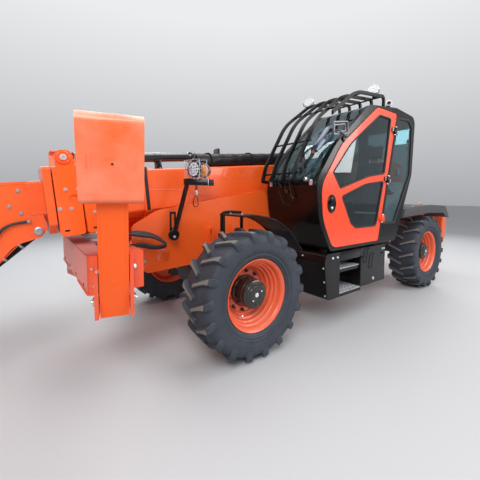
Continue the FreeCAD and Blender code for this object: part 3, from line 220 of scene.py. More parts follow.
def grainGroup():
    # Two noises: tone for colour and shine, height for relief
    tree, start, end = group("surfaceGrain", [("Colour", "Color", (0.8, 0.8, 0.8, 1)),
        ("Scale", "Float", 60.0), ("Contrast", "Float", 0.08), ("Roughness", "Float", 0.4),
        ("Roughness Spread", "Float", 0.1), ("Dust And Sheen Mask", "Float", 0.0)],
        [("Colour", "Color"), ("Roughness", "Float"), ("Height", "Float")])
    coords = node(tree, "ShaderNodeTexCoord").outputs["Object"]
    fine = node(tree, "ShaderNodeTexNoise", [("Vector", coords), ("Scale", start.outputs["Scale"]),
        ("Detail", 4.0)])
    broad = node(tree, "ShaderNodeTexNoise", [("Vector", coords), ("Scale", 2.3), ("Detail", 5.0),
        ("Roughness", 0.55)])
    tone = maths(tree, "SUBTRACT", broad.outputs["Fac"], 0.5)
    shift = maths(tree, "MULTIPLY_ADD", tone, start.outputs["Contrast"], 1.0)
    bright = node(tree, "ShaderNodeVectorMath", [(0, start.outputs["Colour"]), ("Scale", shift)],
        operation="SCALE")
    rough = maths(tree, "MULTIPLY_ADD", tone, start.outputs["Roughness Spread"], start.outputs["Roughness"])
    maskedRough = maths(tree, "MULTIPLY_ADD", start.outputs["Dust And Sheen Mask"], 0.5, rough, use_clamp=True)
    plug(tree, end, [("Colour", bright.outputs[0]), ("Roughness", maskedRough), ("Height", fine.outputs["Fac"])])
    return tree


dustAndSheenLayer = dustAndSheenGroup()
surfaceGrain = grainGroup()


def newMaterial(name):
    material = bpy.data.materials.new(name)
    material.use_nodes = True
    return material, material.node_tree, material.node_tree.nodes["Principled BSDF"]


def finishMaterial(name, colour, rough, coat, grain, relief, dustAndSheen, metal=0.0, depth=0.0006, contrast=0.12,
        spread=0.12, dustAndSheenColour=(0.33, 0.29, 0.25), patch=3.0, specular=0.5, emission=None):
    material, tree, shader = newMaterial(name)
    layer = node(tree, "ShaderNodeGroup", [("Base", (*colour, 1)), ("Dust And Sheen Colour", (*dustAndSheenColour, 1)),
        ("Amount", dustAndSheen), ("Patch Size", patch)], node_tree=dustAndSheenLayer)
    texture = node(tree, "ShaderNodeGroup", [("Colour", layer.outputs["Colour"]),
        ("Dust And Sheen Mask", layer.outputs["Mask"]), ("Scale", grain), ("Contrast", contrast),
        ("Roughness", rough), ("Roughness Spread", spread)], node_tree=surfaceGrain)
    bump = node(tree, "ShaderNodeBump", [("Strength", relief), ("Distance", depth),
        ("Height", texture.outputs["Height"])])
    plug(tree, shader, [("Base Color", texture.outputs["Colour"]),
        ("Roughness", texture.outputs["Roughness"]), ("Normal", bump.outputs["Normal"]),
        ("Metallic", metal), ("Coat Weight", coat), ("Coat Roughness", 0.06),
        ("Specular IOR Level", specular), ("IOR", 1.45)])
    if emission:
        plug(tree, shader, [("Emission Color", (*emission[:3], 1)), ("Emission Strength", emission[3])])
    return material


# Every finish: colour, roughness, coat, grain, relief, dust (on the pads and tyres also a painted sheen),
# then what sets it apart
finishes = {
    "orangePaint": ((0.98, 0.125, 0.016), 0.28, 0.55, 260, 0.05, 0.1,
        dict(contrast=0.1, dustAndSheenColour=(0.55, 0.4, 0.33))),
    "dustyOrange": ((0.88, 0.092, 0.02), 0.4, 0.25, 180, 0.08, 0.38,
        dict(contrast=0.2, dustAndSheenColour=(0.42, 0.27, 0.25), patch=5)),
    "doorPaint": ((0.96, 0.078, 0.024), 0.26, 0.35, 260, 0.04, 0.05, dict(specular=0.35)),
    "rimPaint": ((0.86, 0.105, 0.028), 0.36, 0.35, 120, 0.06, 0.2, dict(dustAndSheenColour=(0.5, 0.33, 0.26))),
    "gunPaint": ((0.0045, 0.0042, 0.0045), 0.22, 0.15, 300, 0.04, 0.02,
        dict(specular=0.3, dustAndSheenColour=(0.1, 0.1, 0.1))),
    "blackPaint": ((0.0065, 0.0058, 0.006), 0.34, 0.0, 220, 0.12, 0.04,
        dict(specular=0.2, dustAndSheenColour=(0.16, 0.14, 0.13))),
    "dullBlack": ((0.0042, 0.0042, 0.0046), 0.24, 0.1, 150, 0.12, 0.05,
        dict(specular=0.3, contrast=0.4, dustAndSheenColour=(0.12, 0.12, 0.12))),
    "blackPlastic": ((0.01, 0.01, 0.011), 0.38, 0.0, 420, 0.3, 0.1,
        dict(specular=0.35, dustAndSheenColour=(0.14, 0.13, 0.13))),
    "rubberSeal": ((0.012, 0.012, 0.013), 0.6, 0.0, 300, 0.2, 0.1, {}),
    # Tyre rubber: the bluish tint of the rubber and of its pale patches is a painted sheen of the cool
    # light; the patches are also dust
    "tyreRubber": ((0.031, 0.037, 0.049), 0.6, 0.0, 110, 0.3, 0.34,
        dict(depth=0.0012, contrast=0.5, dustAndSheenColour=(0.105, 0.118, 0.145), patch=7)),
    "treadFace": ((0.17, 0.155, 0.135), 0.85, 0.0, 160, 0.5, 0.5,
        dict(depth=0.001, contrast=0.7, dustAndSheenColour=(0.27, 0.25, 0.22), patch=11)),
    "brightSteel": ((0.8, 0.8, 0.81), 0.28, 0.0, 240, 0.08, 0.05, dict(metal=0.8)),
    "treadSteel": ((0.55, 0.57, 0.61), 0.45, 0.0, 90, 0.3, 0.15, dict(metal=0.25, contrast=0.6, spread=0.3)),
    "rodChrome": ((0.82, 0.82, 0.83), 0.09, 0.0, 90, 0.02, 0.0, dict(metal=1.0)),
    "zincSteel": ((0.5, 0.53, 0.57), 0.42, 0.0, 60, 0.3, 0.2, dict(metal=0.9, contrast=0.6, spread=0.3)),
    "castGrey": ((0.045, 0.044, 0.046), 0.58, 0.0, 140, 0.6, 0.4, dict(depth=0.0015)),
    "hubBlack": ((0.01, 0.01, 0.011), 0.26, 0.5, 120, 0.15, 0.08, {}),
    "hoseRubber": ((0.018, 0.017, 0.018), 0.38, 0.0, 420, 0.25, 0.12, {}),
    "tubeSheath": ((0.012, 0.01, 0.011), 0.2, 0.7, 120, 0.15, 0.12, {}),
    "hoseSleeve": ((0.014, 0.012, 0.013), 0.36, 0.0, 26, 0.8, 0.15,
        dict(specular=0.4, depth=0.006, dustAndSheenColour=(0.14, 0.12, 0.11))),
    "seatFabric": ((0.02, 0.024, 0.036), 0.85, 0.0, 520, 0.6, 0.05, dict(depth=0.0012)),
    "cabLining": ((0.1, 0.115, 0.13), 0.7, 0.0, 350, 0.3, 0.05, {}),
    "amberLens": ((0.95, 0.28, 0.015), 0.16, 0.6, 90, 0.25, 0.0, dict(emission=(1.0, 0.3, 0.02, 0.22))),
    # Beam top: the top plates get their own darker, mauve-brown colour instead of the sides' orange
    "beamTop": ((0.42, 0.085, 0.065), 0.55, 0.0, 150, 0.15, 1.0,
        dict(contrast=0.3, dustAndSheenColour=(0.42, 0.2, 0.19), patch=6)),
    "capGrey": ((0.5, 0.48, 0.46), 0.4, 0.0, 120, 0.1, 0.2, {}),
    "guardGrey": ((0.075, 0.072, 0.077), 0.55, 0.0, 120, 0.2, 0.3,
        dict(specular=0.3, dustAndSheenColour=(0.17, 0.165, 0.165))),
    # Rear trim: paler than the real lining and glowing faintly, painted light for the light falling into the
    # cab
    "trimGrey": ((0.74, 0.82, 0.84), 0.5, 0.0, 180, 0.1, 0.05, dict(emission=(0.74, 0.82, 0.84, 0.16))),
    "knobRed": ((0.13, 0.012, 0.01), 0.35, 0.0, 90, 0.2, 0.1, {}),
    "legPaint": ((0.99, 0.118, 0.01), 0.32, 0.12, 240, 0.06, 0.04,
        dict(specular=0.3, dustAndSheenColour=(0.6, 0.4, 0.33))),
    "redLens": ((0.72, 0.012, 0.012), 0.16, 0.6, 90, 0.25, 0.0, {}),
    "lampLens": ((0.8, 0.82, 0.88), 0.12, 0.8, 60, 0.1, 0.0, dict(emission=(0.85, 0.88, 1.0, 0.12))),
    "lampWhite": ((0.78, 0.79, 0.78), 0.3, 0.5, 80, 0.1, 0.1, {}),
    "mirrorBlue": ((0.065, 0.08, 0.115), 0.2, 0.0, 60, 0.05, 0.1, dict(metal=0.65)),
    "mirrorEdge": ((0.15, 0.155, 0.17), 0.38, 0.0, 90, 0.1, 0.1, dict(metal=0.6)),
    "mirrorFace": ((0.75, 0.78, 0.8), 0.05, 0.0, 60, 0.01, 0.05, dict(metal=1.0)),
    # Stabiliser pads: the pale pink patches are dust and also a painted sheen on the pad's face
    "padPaint": ((0.97, 0.135, 0.02), 0.25, 0.5, 200, 0.08, 2.1,
        dict(contrast=0.16, dustAndSheenColour=(0.97, 0.56, 0.43), patch=2.6)),
    "blankPlate": ((0.6, 0.61, 0.62), 0.35, 0.0, 140, 0.1, 0.1, dict(metal=0.7))}
look = {name: finishMaterial(name, *columns, **rest) for name, (*columns, rest) in finishes.items()}


def glassMaterial(name, tint, rough, clear):
    # Thin tinted glass: see-through with a gloss of its own
    material, tree, shader = newMaterial(name)
    texture = node(tree, "ShaderNodeGroup", [("Colour", (*tint, 1)), ("Scale", 5), ("Contrast", 0.15),
        ("Roughness", rough), ("Roughness Spread", 0.02)], node_tree=surfaceGrain)
    plug(tree, shader, [("Base Color", texture.outputs["Colour"]),
        ("Roughness", texture.outputs["Roughness"]), ("IOR", 1.5), ("Transmission Weight", clear),
        ("Specular IOR Level", 0.45)])
    return material


look["cabGlass"] = glassMaterial("cabGlass", (0.27, 0.4, 0.43), 0.006, 0.97)
print("stage: finishes")

# Mesh tools: each adds to a bmesh, in mid-wheelbase coordinates unless a frame is given


def finishPiece(name, bm, materials, body, smooth=35, stands=(), origin=None):
    # Makes the object, puts it on its body and names its finish
    bmesh.ops.recalc_face_normals(bm, faces=bm.faces)
    mesh = bpy.data.meshes.new(name)
    bm.to_mesh(mesh)
    bm.free()
    for material in materials:
        mesh.materials.append(look[material])
    mesh.polygons.foreach_set("use_smooth", [True] * len(mesh.polygons))
    mesh.set_sharp_from_angle(angle=radians(smooth))
    piece = bpy.data.objects.new(name, mesh)
    scene.collection.objects.link(piece)
    if origin:
        mesh.transform(Matrix.Translation(-origin))
        piece.location = origin
    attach(piece, body)
    if stands:
        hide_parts(*stands)
    return piece


def axisFrame(origin, axis):
    # Z of the frame along axis
    direction = Vector(axis).normalized()
    turn = direction.to_track_quat("Z", "Y").to_matrix().to_4x4()
    return Matrix.Translation(Vector(origin)) @ turn


def capped(radius, height, *more):
    # Profile of a round end that is shut at its middle
    profile = [(radius, 0), (radius, height), *more]
    return profile + [(0, profile[-1][1])]


def rect(left, low, right, high):
    return [(left, low), (right, low), (right, high), (left, high)]


def addLathe(bm, profile, place, segments=32, material=0, closed=False):
    # Profile of (radius, along); place maps Z to the axis
    rings = []
    for radius, along in profile:
        if radius < 1e-6:
            rings.append([bm.verts.new(place @ Vector((0, 0, along)))])
        else:
            rings.append([bm.verts.new(place @ polar(radius, 2 * pi * k / segments, along))
                for k in range(segments)])
    pairs = list(zip(rings, rings[1:]))
    if closed:
        pairs.append((rings[-1], rings[0]))
    for low, high in pairs:
        for k in range(segments):
            n = (k + 1) % segments
            if len(low) == 1 and len(high) == 1:
                continue
            if len(low) == 1:
                corners = [low[0], high[n], high[k]]
            elif len(high) == 1:
                corners = [low[k], low[n], high[0]]
            else:
                corners = [low[k], low[n], high[n], high[k]]
            bm.faces.new(corners).material_index = material
    if not closed:
        for ring in (rings[0], rings[-1]):
            if len(ring) > 2:
                bm.faces.new(ring).material_index = material


def roundPath(points, bend, steps=5):
    # Replaces each corner of a run of points by an arc-like curve
    points = [Vector(p) for p in points]
    path = [points[0]]
    for before, here, after in zip(points, points[1:], points[2:]):
        reach = min(bend, (before - here).length * 0.49, (after - here).length * 0.49)
        start = here + (before - here).normalized() * reach
        end = here + (after - here).normalized() * reach
        for k in range(steps + 1):
            t = k / steps
            path.append(start * (1 - t) ** 2 + here * 2 * t * (1 - t) + end * t * t)
    path.append(points[-1])
    return path


def addTube(bm, points, radius, sides=12, material=0, bend=0, loop=False, steps=5, section=None):
    # Round tube, or a flat bar where section gives (width, height)
    path = roundPath(points, bend, steps) if bend else [Vector(p) for p in points]
    clean = [path[0]]
    for p in path[1:]:
        if (p - clean[-1]).length > 1e-5:
            clean.append(p)
    path = clean
    count = len(path)
    tangents = []
    for k in range(count):
        before = path[k - 1] if k or loop else path[k]
        after = path[(k + 1) % count] if k < count - 1 or loop else path[k]
        tangents.append((after - before).normalized())
    side = tangents[0].orthogonal().normalized()
    if abs(tangents[0].z) < 0.9:
        side = tangents[0].cross(Vector((0, 0, 1))).normalized()
    rings = []
    radii = radius if isinstance(radius, (list, tuple)) else [radius] * count
    for k, (p, t) in enumerate(zip(path, tangents)):
        side = (side - t * side.dot(t)).normalized()
        up = t.cross(side)
        stretch = 1.0
        if 0 < k < count - 1:
            turn = (path[k] - path[k - 1]).normalized().dot((path[k + 1] - path[k]).normalized())
            stretch = 1 / max(0.7, sqrt(max(0, (1 + turn) / 2)))
        ring = []
        if section:
            wide, high = section[0] / 2, section[1] / 2
            edge = min(wide, high) * 0.28
            for a, b in ((wide, high - edge), (wide - edge, high), (edge - wide, high),
                    (-wide, high - edge), (-wide, edge - high), (edge - wide, -high), (wide - edge, -high),
                    (wide, edge - high)):
                ring.append(bm.verts.new(p + (side * a + up * b) * stretch))
        else:
            r = radii[min(k, len(radii) - 1)] * stretch
            for j in range(sides):
                angle = 2 * pi * j / sides
                ring.append(bm.verts.new(p + side * (r * cos(angle)) + up * (r * sin(angle))))
        rings.append(ring)
    pairs = list(zip(rings, rings[1:]))
    if loop:
        pairs.append((rings[-1], rings[0]))
    for low, high in pairs:
        size = len(low)
        for j in range(size):
            n = (j + 1) % size
            bm.faces.new([low[j], low[n], high[n], high[j]]).material_index = material
    if not loop:
        bm.faces.new(rings[0]).material_index = material
        bm.faces.new(rings[-1]).material_index = material


def bevelNew(bm, faces, width, segments=2):
    if width <= 0:
        return
    edges = {edge for face in faces for edge in face.edges if len(edge.link_faces) == 2
        and edge.calc_face_angle(0) > 0.5}
    bmesh.ops.bevel(bm, geom=list(edges), offset=width, segments=segments, profile=0.6, affect="EDGES",
        clamp_overlap=True, material=-1)


def addPlate(bm, outline, place, thick, bevel=0.002, material=0, corner=0, segments=2):
    # Outline in the frame's XY, thickness along its Z; corners rounded on request
    points = [Vector((u, v, 0)) for u, v in outline]
    if corner:
        ring = []
        for k, here in enumerate(points):
            before, after = points[k - 1], points[(k + 1) % len(points)]
            reach = min(corner, (before - here).length * 0.45, (after - here).length * 0.45)
            start = here + (before - here).normalized() * reach
            end = here + (after - here).normalized() * reach
            for j in range(5):
                t = j / 4
                ring.append(start * (1 - t) ** 2 + here * 2 * t * (1 - t) + end * t * t)
        points = ring
    low = [bm.verts.new(place @ p) for p in points]
    high = [bm.verts.new(place @ (p + Vector((0, 0, thick)))) for p in points]
    faces = [bm.faces.new(low), bm.faces.new(high)]
    for k in range(len(points)):
        n = (k + 1) % len(points)
        faces.append(bm.faces.new([low[k], low[n], high[n], high[k]]))
    for face in faces:
        face.material_index = material
    bmesh.ops.recalc_face_normals(bm, faces=faces)
    bevelNew(bm, faces, bevel, segments)


def addBlock(bm, low, high, bevel=0.003, material=0, place=None):
    place = place or Matrix.Identity(4)
    addPlate(bm, rect(low[0], low[1], high[0], high[1]), place @ moved(0, 0, low[2]), high[2] - low[2],
        bevel, material)


def addBolt(bm, point, axis, size=0.012, material=0, washer=True, hollow=False):
    # Hex head with chamfer on a washer
    place = axisFrame(point, axis)
    if washer:
        addLathe(bm, [(size * 1.25, -0.002), (size * 1.3, 0.001), (size * 1.2, size * 0.22),
            (0, size * 0.22)], place, 16, material)
    if hollow:
        addLathe(bm, [(size * 0.85, 0), (size * 0.9, size * 0.7), (size * 0.8, size), (size * 0.45, size),
            (size * 0.4, size * 0.5), (0, size * 0.5)], place, 14, material)
    else:
        addLathe(bm, [(size, size * 0.1), (size, size * 0.75), (size * 0.82, size * 0.92),
            (0, size * 0.92)], place, 6, material)


def sideFrame(y, flip=False):
    # XY of the frame is machine X and Z; its Z is outward along Y
    if flip:
        return Matrix(((1, 0, 0, 0), (0, 0, -1, y), (0, 1, 0, 0), (0, 0, 0, 1)))
    return Matrix(((1, 0, 0, 0), (0, 0, 1, y), (0, 1, 0, 0), (0, 0, 0, 1)))


here = moved(midX, 0, 0)
wheelHeight = 0.59


def quarter(k):
    # Angle of each of four bolts
    return 0.785 + k * 1.571


# Tyres: carcass turned from its section, lugs lofted along the tread and down the sidewall

tyre = {"lugs": 18, "segments": 90, "ribs": 72}
tyreSection = [(0.3115, 0.135), (0.318, 0.152), (0.336, 0.1605), (0.341, 0.17), (0.35, 0.179),
    (0.362, 0.182), (0.367, 0.1905), (0.376, 0.1925), (0.382, 0.1895), (0.4, 0.197), (0.43, 0.2035),
    (0.456, 0.2045), (0.462, 0.2035), (0.468, 0.2045), (0.492, 0.2025), (0.52, 0.195), (0.54, 0.18),
    (0.55, 0.16), (0.555, 0.11), (0.5575, 0.05)]
# Lug stations: y, radius at the top, half width, forward shift, radius and y of the foot
lugStations = [(-0.02, 0.556, 0.015, -0.056, 0.554, -0.024), (-0.014, 0.588, 0.015, -0.054, 0.554, -0.016),
    (0.004, 0.5905, 0.0205, -0.048, 0.554, 0.004), (0.022, 0.5905, 0.0165, -0.039, 0.554, 0.022),
    (0.06, 0.59, 0.0165, -0.024, 0.554, 0.06), (0.1, 0.589, 0.018, -0.006, 0.553, 0.1),
    (0.14, 0.5875, 0.0205, 0.01, 0.55, 0.138), (0.172, 0.585, 0.024, 0.02, 0.543, 0.166),
    (0.19, 0.579, 0.027, 0.0245, 0.533, 0.176), (0.2045, 0.564, 0.03, 0.027, 0.526, 0.186),
    (0.2095, 0.54, 0.033, 0.029, 0.518, 0.192), (0.209, 0.506, 0.035, 0.03, 0.5, 0.195),
    (0.204, 0.486, 0.035, 0.03, 0.484, 0.198)]


def addLug(bm, centre, turn, mirror):
    rings = []
    for y, top, half, ahead, foot, footY in lugStations:
        ring = []
        edge = 0.0035
        for across, radius, side in ((-half - 0.01, foot, footY), (-half - 0.001, top - edge, y),
                (-half + edge, top, y), (half - edge, top, y), (half + 0.001, top - edge, y),
                (half + 0.01, foot, footY)):
            if top < 0.58:
                side = y - (0 if abs(across) < half else edge) if radius != foot else footY
            angle = turn + (ahead + across) / max(top, 0.54)
            ring.append(bm.verts.new((centre[0] + radius * cos(angle), centre[1] + mirror * side,
                centre[2] + radius * sin(angle))))
        rings.append(ring)
    for k, (low, high) in enumerate(zip(rings, rings[1:])):
        for j in range(5):
            face = bm.faces.new([low[j], low[j + 1], high[j + 1], high[j]])
            face.material_index = 1 if j == 2 and 1 <= k <= 7 else 0
        bm.faces.new([low[5], low[0], high[0], high[5]])
    bm.faces.new(rings[0])
    bm.faces.new(rings[-1])


def wheelCentre(corner):
    centre = middle("rim_" + corner)
    centre.y = middle("tyre_" + corner).y
    return centre


def makeTyre(corner):
    centre = wheelCentre(corner)
    bm = bmesh.new()
    profile = tyreSection + [(r, -y) for r, y in reversed(tyreSection)]
    place = Matrix.Translation(centre) @ turned(-pi / 2, "X")
    addLathe(bm, profile, place, tyre["segments"], closed=True)
    pitch = 2 * pi / tyre["lugs"]
    for k in range(tyre["lugs"]):
        addLug(bm, centre, k * pitch, 1)
        addLug(bm, centre, (k + 0.5) * pitch, -1)
    # Short moulded ribs round the bead
    for k in range(tyre["ribs"]):
        angle = 2 * pi * k / tyre["ribs"]
        for mirror in (1, -1):
            out = Matrix.Translation(centre) @ turned(-angle, "Y")
            addBlock(bm, (0.395, mirror * 0.1985 - 0.004, -0.0025), (0.42, mirror * 0.1985 + 0.004, 0.0025),
                0, 0, out)
    finishPiece("tyreDetail_" + corner, bm, ["tyreRubber", "treadFace"], "wheel_" + corner, 40,
        ["tyre_" + corner], centre)


# Wheels: deep stepped rim, planetary hub, nuts and valve

wheel = {"nuts": 10, "nutCircle": 0.186, "nutSize": 0.0135, "segments": 72, "teeth": 24}
rimSection = [(0.3045, 0.14), (0.308, 0.149), (0.324, 0.156), (0.332, 0.163), (0.3335, 0.168), (0.33, 0.17),
    (0.3235, 0.166), (0.312, 0.157), (0.304, 0.149), (0.299, 0.136), (0.2975, 0.112), (0.294, 0.104),
    (0.283, 0.0985), (0.279, 0.093), (0.2775, 0.074), (0.274, 0.066), (0.262, 0.06), (0.258, 0.054),
    (0.256, 0.033), (0.252, 0.025), (0.24, 0.019), (0.236, 0.012), (0.233, -0.006), (0.227, -0.015),
    (0.213, -0.023), (0.208, -0.03), (0.203, -0.04), (0.19, -0.0455), (0.155, -0.0465), (0.15, -0.0465)]
rimBack = [(0.15, -0.062), (0.22, -0.062), (0.285, -0.05), (0.296, -0.03), (0.2975, -0.136),
    (0.304, -0.149), (0.3235, -0.166), (0.33, -0.17), (0.3335, -0.168), (0.324, -0.156), (0.308, -0.149),
    (0.3045, -0.14)]
hubSection = [(0.15, -0.0465), (0.15, -0.02), (0.146, -0.014), (0.138, -0.01), (0.1365, 0.07),
    (0.133, 0.082), (0.128, 0.086), (0.127, 0.1), (0.1315, 0.104), (0.1325, 0.118), (0.129, 0.124),
    (0.118, 0.13), (0.113, 0.1305), (0.109, 0.1365), (0.104, 0.1385), (0.082, 0.14), (0.078, 0.146),
    (0.07, 0.149), (0.05, 0.1495), (0.046, 0.1465), (0.026, 0.1465), (0.024, 0.1495), (0, 0.1495)]


def makeRim(corner, side):
    centre = wheelCentre(corner)
    place = Matrix.Translation(centre) @ turned(-side * pi / 2, "X")
    bm = bmesh.new()
    addLathe(bm, rimSection + rimBack, place, wheel["segments"], closed=True)
    valve = place @ turned(radians(64), "Z") @ moved(0.245, 0, 0.018)
    addLathe(bm, [(0.01, -0.01), (0.01, 0.012), (0.006, 0.014), (0.006, 0.038), (0.008, 0.04),
        (0.008, 0.052), (0, 0.052)], valve @ turned(-0.5, "Y"), 12, 1)
    # Round hand holes' rims pressed in the disc
    for k in range(8):
        spot = place @ turned(2 * pi * (k + 0.5) / 8, "Z") @ moved(0.2195, 0, -0.03)
        addLathe(bm, [(0, 0.0035), (0.0065, 0.0035), (0.0085, 0), (0, -0.004)], spot, 10, 2)
    finishPiece("rimDetail_" + corner, bm, ["rimPaint", "brightSteel", "gunPaint"], "wheel_" + corner,
        28, ["rim_" + corner], centre)
    bm = bmesh.new()
    addLathe(bm, hubSection, place, 64)
    for k in range(wheel["teeth"]):
        spot = place @ turned(2 * pi * k / wheel["teeth"], "Z")
        addBlock(bm, (0.1275, -0.006, 0.106), (0.1345, 0.006, 0.117), 0.001, 0, spot)
    for k in range(wheel["nuts"]):
        angle = 2 * pi * (k + 0.3) / wheel["nuts"]
        spot = place @ turned(angle, "Z") @ moved(wheel["nutCircle"], 0, -0.0465)
        size = wheel["nutSize"]
        addLathe(bm, [(size * 1.5, 0), (size * 1.5, 0.004), (size * 1.3, 0.005), (0, 0.005)], spot, 16)
        addLathe(bm, [(size, 0.004), (size, 0.02), (size * 0.8, 0.023), (0, 0.023)], spot, 6)
        addLathe(bm, [(size * 0.55, 0.02), (size * 0.55, 0.038), (size * 0.4, 0.041), (0, 0.041)], spot, 10)
    addLathe(bm, [(0.021, 0.147), (0.021, 0.1505), (0.017, 0.153), (0.008, 0.153), (0.006, 0.1505),
        (0, 0.1505)], place, 24, 1)
    for angle, reach in ((0.8, 0.062), (3.6, 0.062)):
        spot = place @ turned(angle, "Z") @ moved(reach, 0, 0.149)
        addLathe(bm, capped(0.009, 0.003), spot, 6, 1)
    for k in range(12):
        spot = place @ turned(2 * pi * k / 12, "Z") @ moved(0.0935, 0, 0.139)
        addLathe(bm, capped(0.0065, 0.004), spot, 8)
    finishPiece("hubDetail_" + corner, bm, ["hubBlack", "brightSteel"], "wheel_" + corner, 30,
        (), centre)


for corner, side in (("front_left", 1), ("front_right", -1), ("rear_left", 1), ("rear_right", -1)):
    makeTyre(corner)
    makeRim(corner, side)
print("stage: wheels")

# CAD nodes that keep their shape, by finish

nodeFinish = {
    "orangePaint": "chassis_frame counterweight engine_hood boom_base boom_section_2 boom_section_3"
        " boom_section_4 fork_carriage",
    "dustyOrange": "crossbeam", "doorPaint": "door_frame", "dullBlack": "step_box", "cabLining": "console",
    "castGrey": "front_axle rear_axle engine knuckle_front_left knuckle_front_right knuckle_rear_left"
        " knuckle_rear_right",
    "gunPaint": "cab_frame cab_roof", "cabGlass": "windscreen cab_glass door_glass",
    "blackPaint": "cab_guard forks lift_cylinder tilt_cylinder", "rodChrome": "lift_rod tilt_rod",
    "guardGrey": "rear_fenders", "blackPlastic": "fender_front_left fender_front_right",
    "legPaint": "stabiliser_leg_left stabiliser_leg_right", "hoseRubber": "hose_carrier",
    "padPaint": "stabiliser_pad_left stabiliser_pad_right"}


def dressNodes():
    for kind, names in nodeFinish.items():
        for piece in (o for o in nodes.values() if o.name in names.split()):
            if piece.material_slots:
                for slot in piece.material_slots:
                    slot.material = look[kind]
            else:
                piece.data.materials.append(look[kind])


dressNodes()
print("stage: CAD nodes finished")

# Cab: seals round the panes, door furniture, mirrors and lamps

cab = {"out": 1.15, "in": 0.39, "floor": 0.93}
upperPane = [(-0.134, 2.508), (-0.424, 2.508), (-0.3, 1.782), (0.09, 1.73), (0.66, 1.572), (0.8, 1.747),
    (0.48, 2.092)]
lowerPane = [(0.632, 1.487), (0.15, 1.64), (-0.282, 1.69), (-0.124, 1.112), (0.34, 1.112), (0.44, 1.17)]
rearPane = [(-0.61, 2.55), (-0.93, 2.572), (-1.05, 2.48), (-1.028, 1.8), (-0.61, 1.128), (-0.262, 1.128)]
doorLine = [(-0.572, 2.59), (-0.176, 0.92), (0.78, 0.92), (0.95, 1.24), (0.985, 1.6), (0.64, 2.07),
    (-0.08, 2.592)]
rightPane = [(0.85, 1.64), (0.52, 2.11), (0.08, 2.47), (-0.9, 2.5), (-0.96, 1.7), (-0.88, 1.5), (0.8, 1.5)]
bends = {"upper": [0.04, 0.03, 0.05, 0.9, 0.025, 0.025, 0.7], "lower": [0.025, 0.9, 0.03, 0.06, 0.11, 0.06],
    "rear": [0.04, 0.06, 0.06, 0.2, 0.03, 0.03], "door": [0.03, 0.04, 0.13, 0.5, 0.3, 0.7, 0.09],
    "right": [0.04, 0.06, 0.08, 0.08, 0.08, 0.06, 0.06]}


def roundLoop(corners, radii, grow=0, steps=8):
    # Closed outline with true arcs at its corners, as the panes are cut
    loop = []
    count = len(corners)
    for k in range(count):
        here = Vector(corners[k])
        before, after = Vector(corners[k - 1]), Vector(corners[(k + 1) % count])
        a, b = (before - here).normalized(), (after - here).normalized()
        half = acos(max(-1, min(1, a.dot(b)))) / 2
        reach = min(radii[k] / tan(half), (before - here).length * 0.5, (after - here).length * 0.5)
        radius = reach * tan(half)
        centre = here + (a + b).normalized() * hypot(radius, reach)
        start, end = here + a * reach - centre, here + b * reach - centre
        sweep = start.angle_signed(end)
        for j in range(steps + 1):
            arm = start.copy()
            arm.rotate(Matrix.Rotation(-sweep * j / steps, 2))
            loop.append(centre + arm)
    if grow:
        area = sum(p.x * q.y - q.x * p.y for p, q in zip(loop, loop[1:] + loop[:1]))
        sign = 1 if area > 0 else -1
        shifted = []
        for k, p in enumerate(loop):
            t = (loop[(k + 1) % len(loop)] - loop[k - 1]).normalized()
            shifted.append(p + Vector((t.y, -t.x)) * sign * grow)
        loop = shifted
    return loop


def addSeal(bm, corners, radii, y, wide, proud, grow):
    # Flat band on a side wall along the outline of a pane
    inner = roundLoop(corners, radii, grow - wide)
    outer = roundLoop(corners, radii, grow)
    count = len(inner)
    high = proud if y > 0 else -proud
    edge = min(0.003, abs(proud) * 0.5) * (1 if y > 0 else -1)
    layers = []
    for loop, level in ((outer, y), (outer, y + high - edge), (roundLoop(corners, radii, grow - wide * 0.2),
            y + high), (roundLoop(corners, radii, grow - wide * 0.8), y + high), (inner, y + high - edge),
            (inner, y)):
        layers.append([bm.verts.new(at(p.x, level, p.y)) for p in loop])
    for low, top in zip(layers, layers[1:] + layers[:1]):
        for k in range(count):
            n = (k + 1) % count
            bm.faces.new([low[k], low[n], top[n], top[k]])


def makeSeals():
    bm = bmesh.new()
    addSeal(bm, upperPane, bends["upper"], cab["out"] - 0.012, 0.02, 0.016, grow=0.004)
    addSeal(bm, lowerPane, bends["lower"], cab["out"] - 0.012, 0.02, 0.016, grow=0.004)
    finishPiece("doorSeals", bm, ["rubberSeal"], "door", 40)
    bm = bmesh.new()
    addSeal(bm, rearPane, bends["rear"], cab["out"] - 0.01, 0.03, 0.014, grow=0.006)
    addSeal(bm, rightPane, bends["right"], cab["in"] + 0.01, 0.03, 0.014, grow=0.006)
    addSeal(bm, doorLine, bends["door"], cab["out"] - 0.004, 0.008, 0.007, grow=0.016)
    finishPiece("cabSeals", bm, ["rubberSeal"], "chassis", 40)


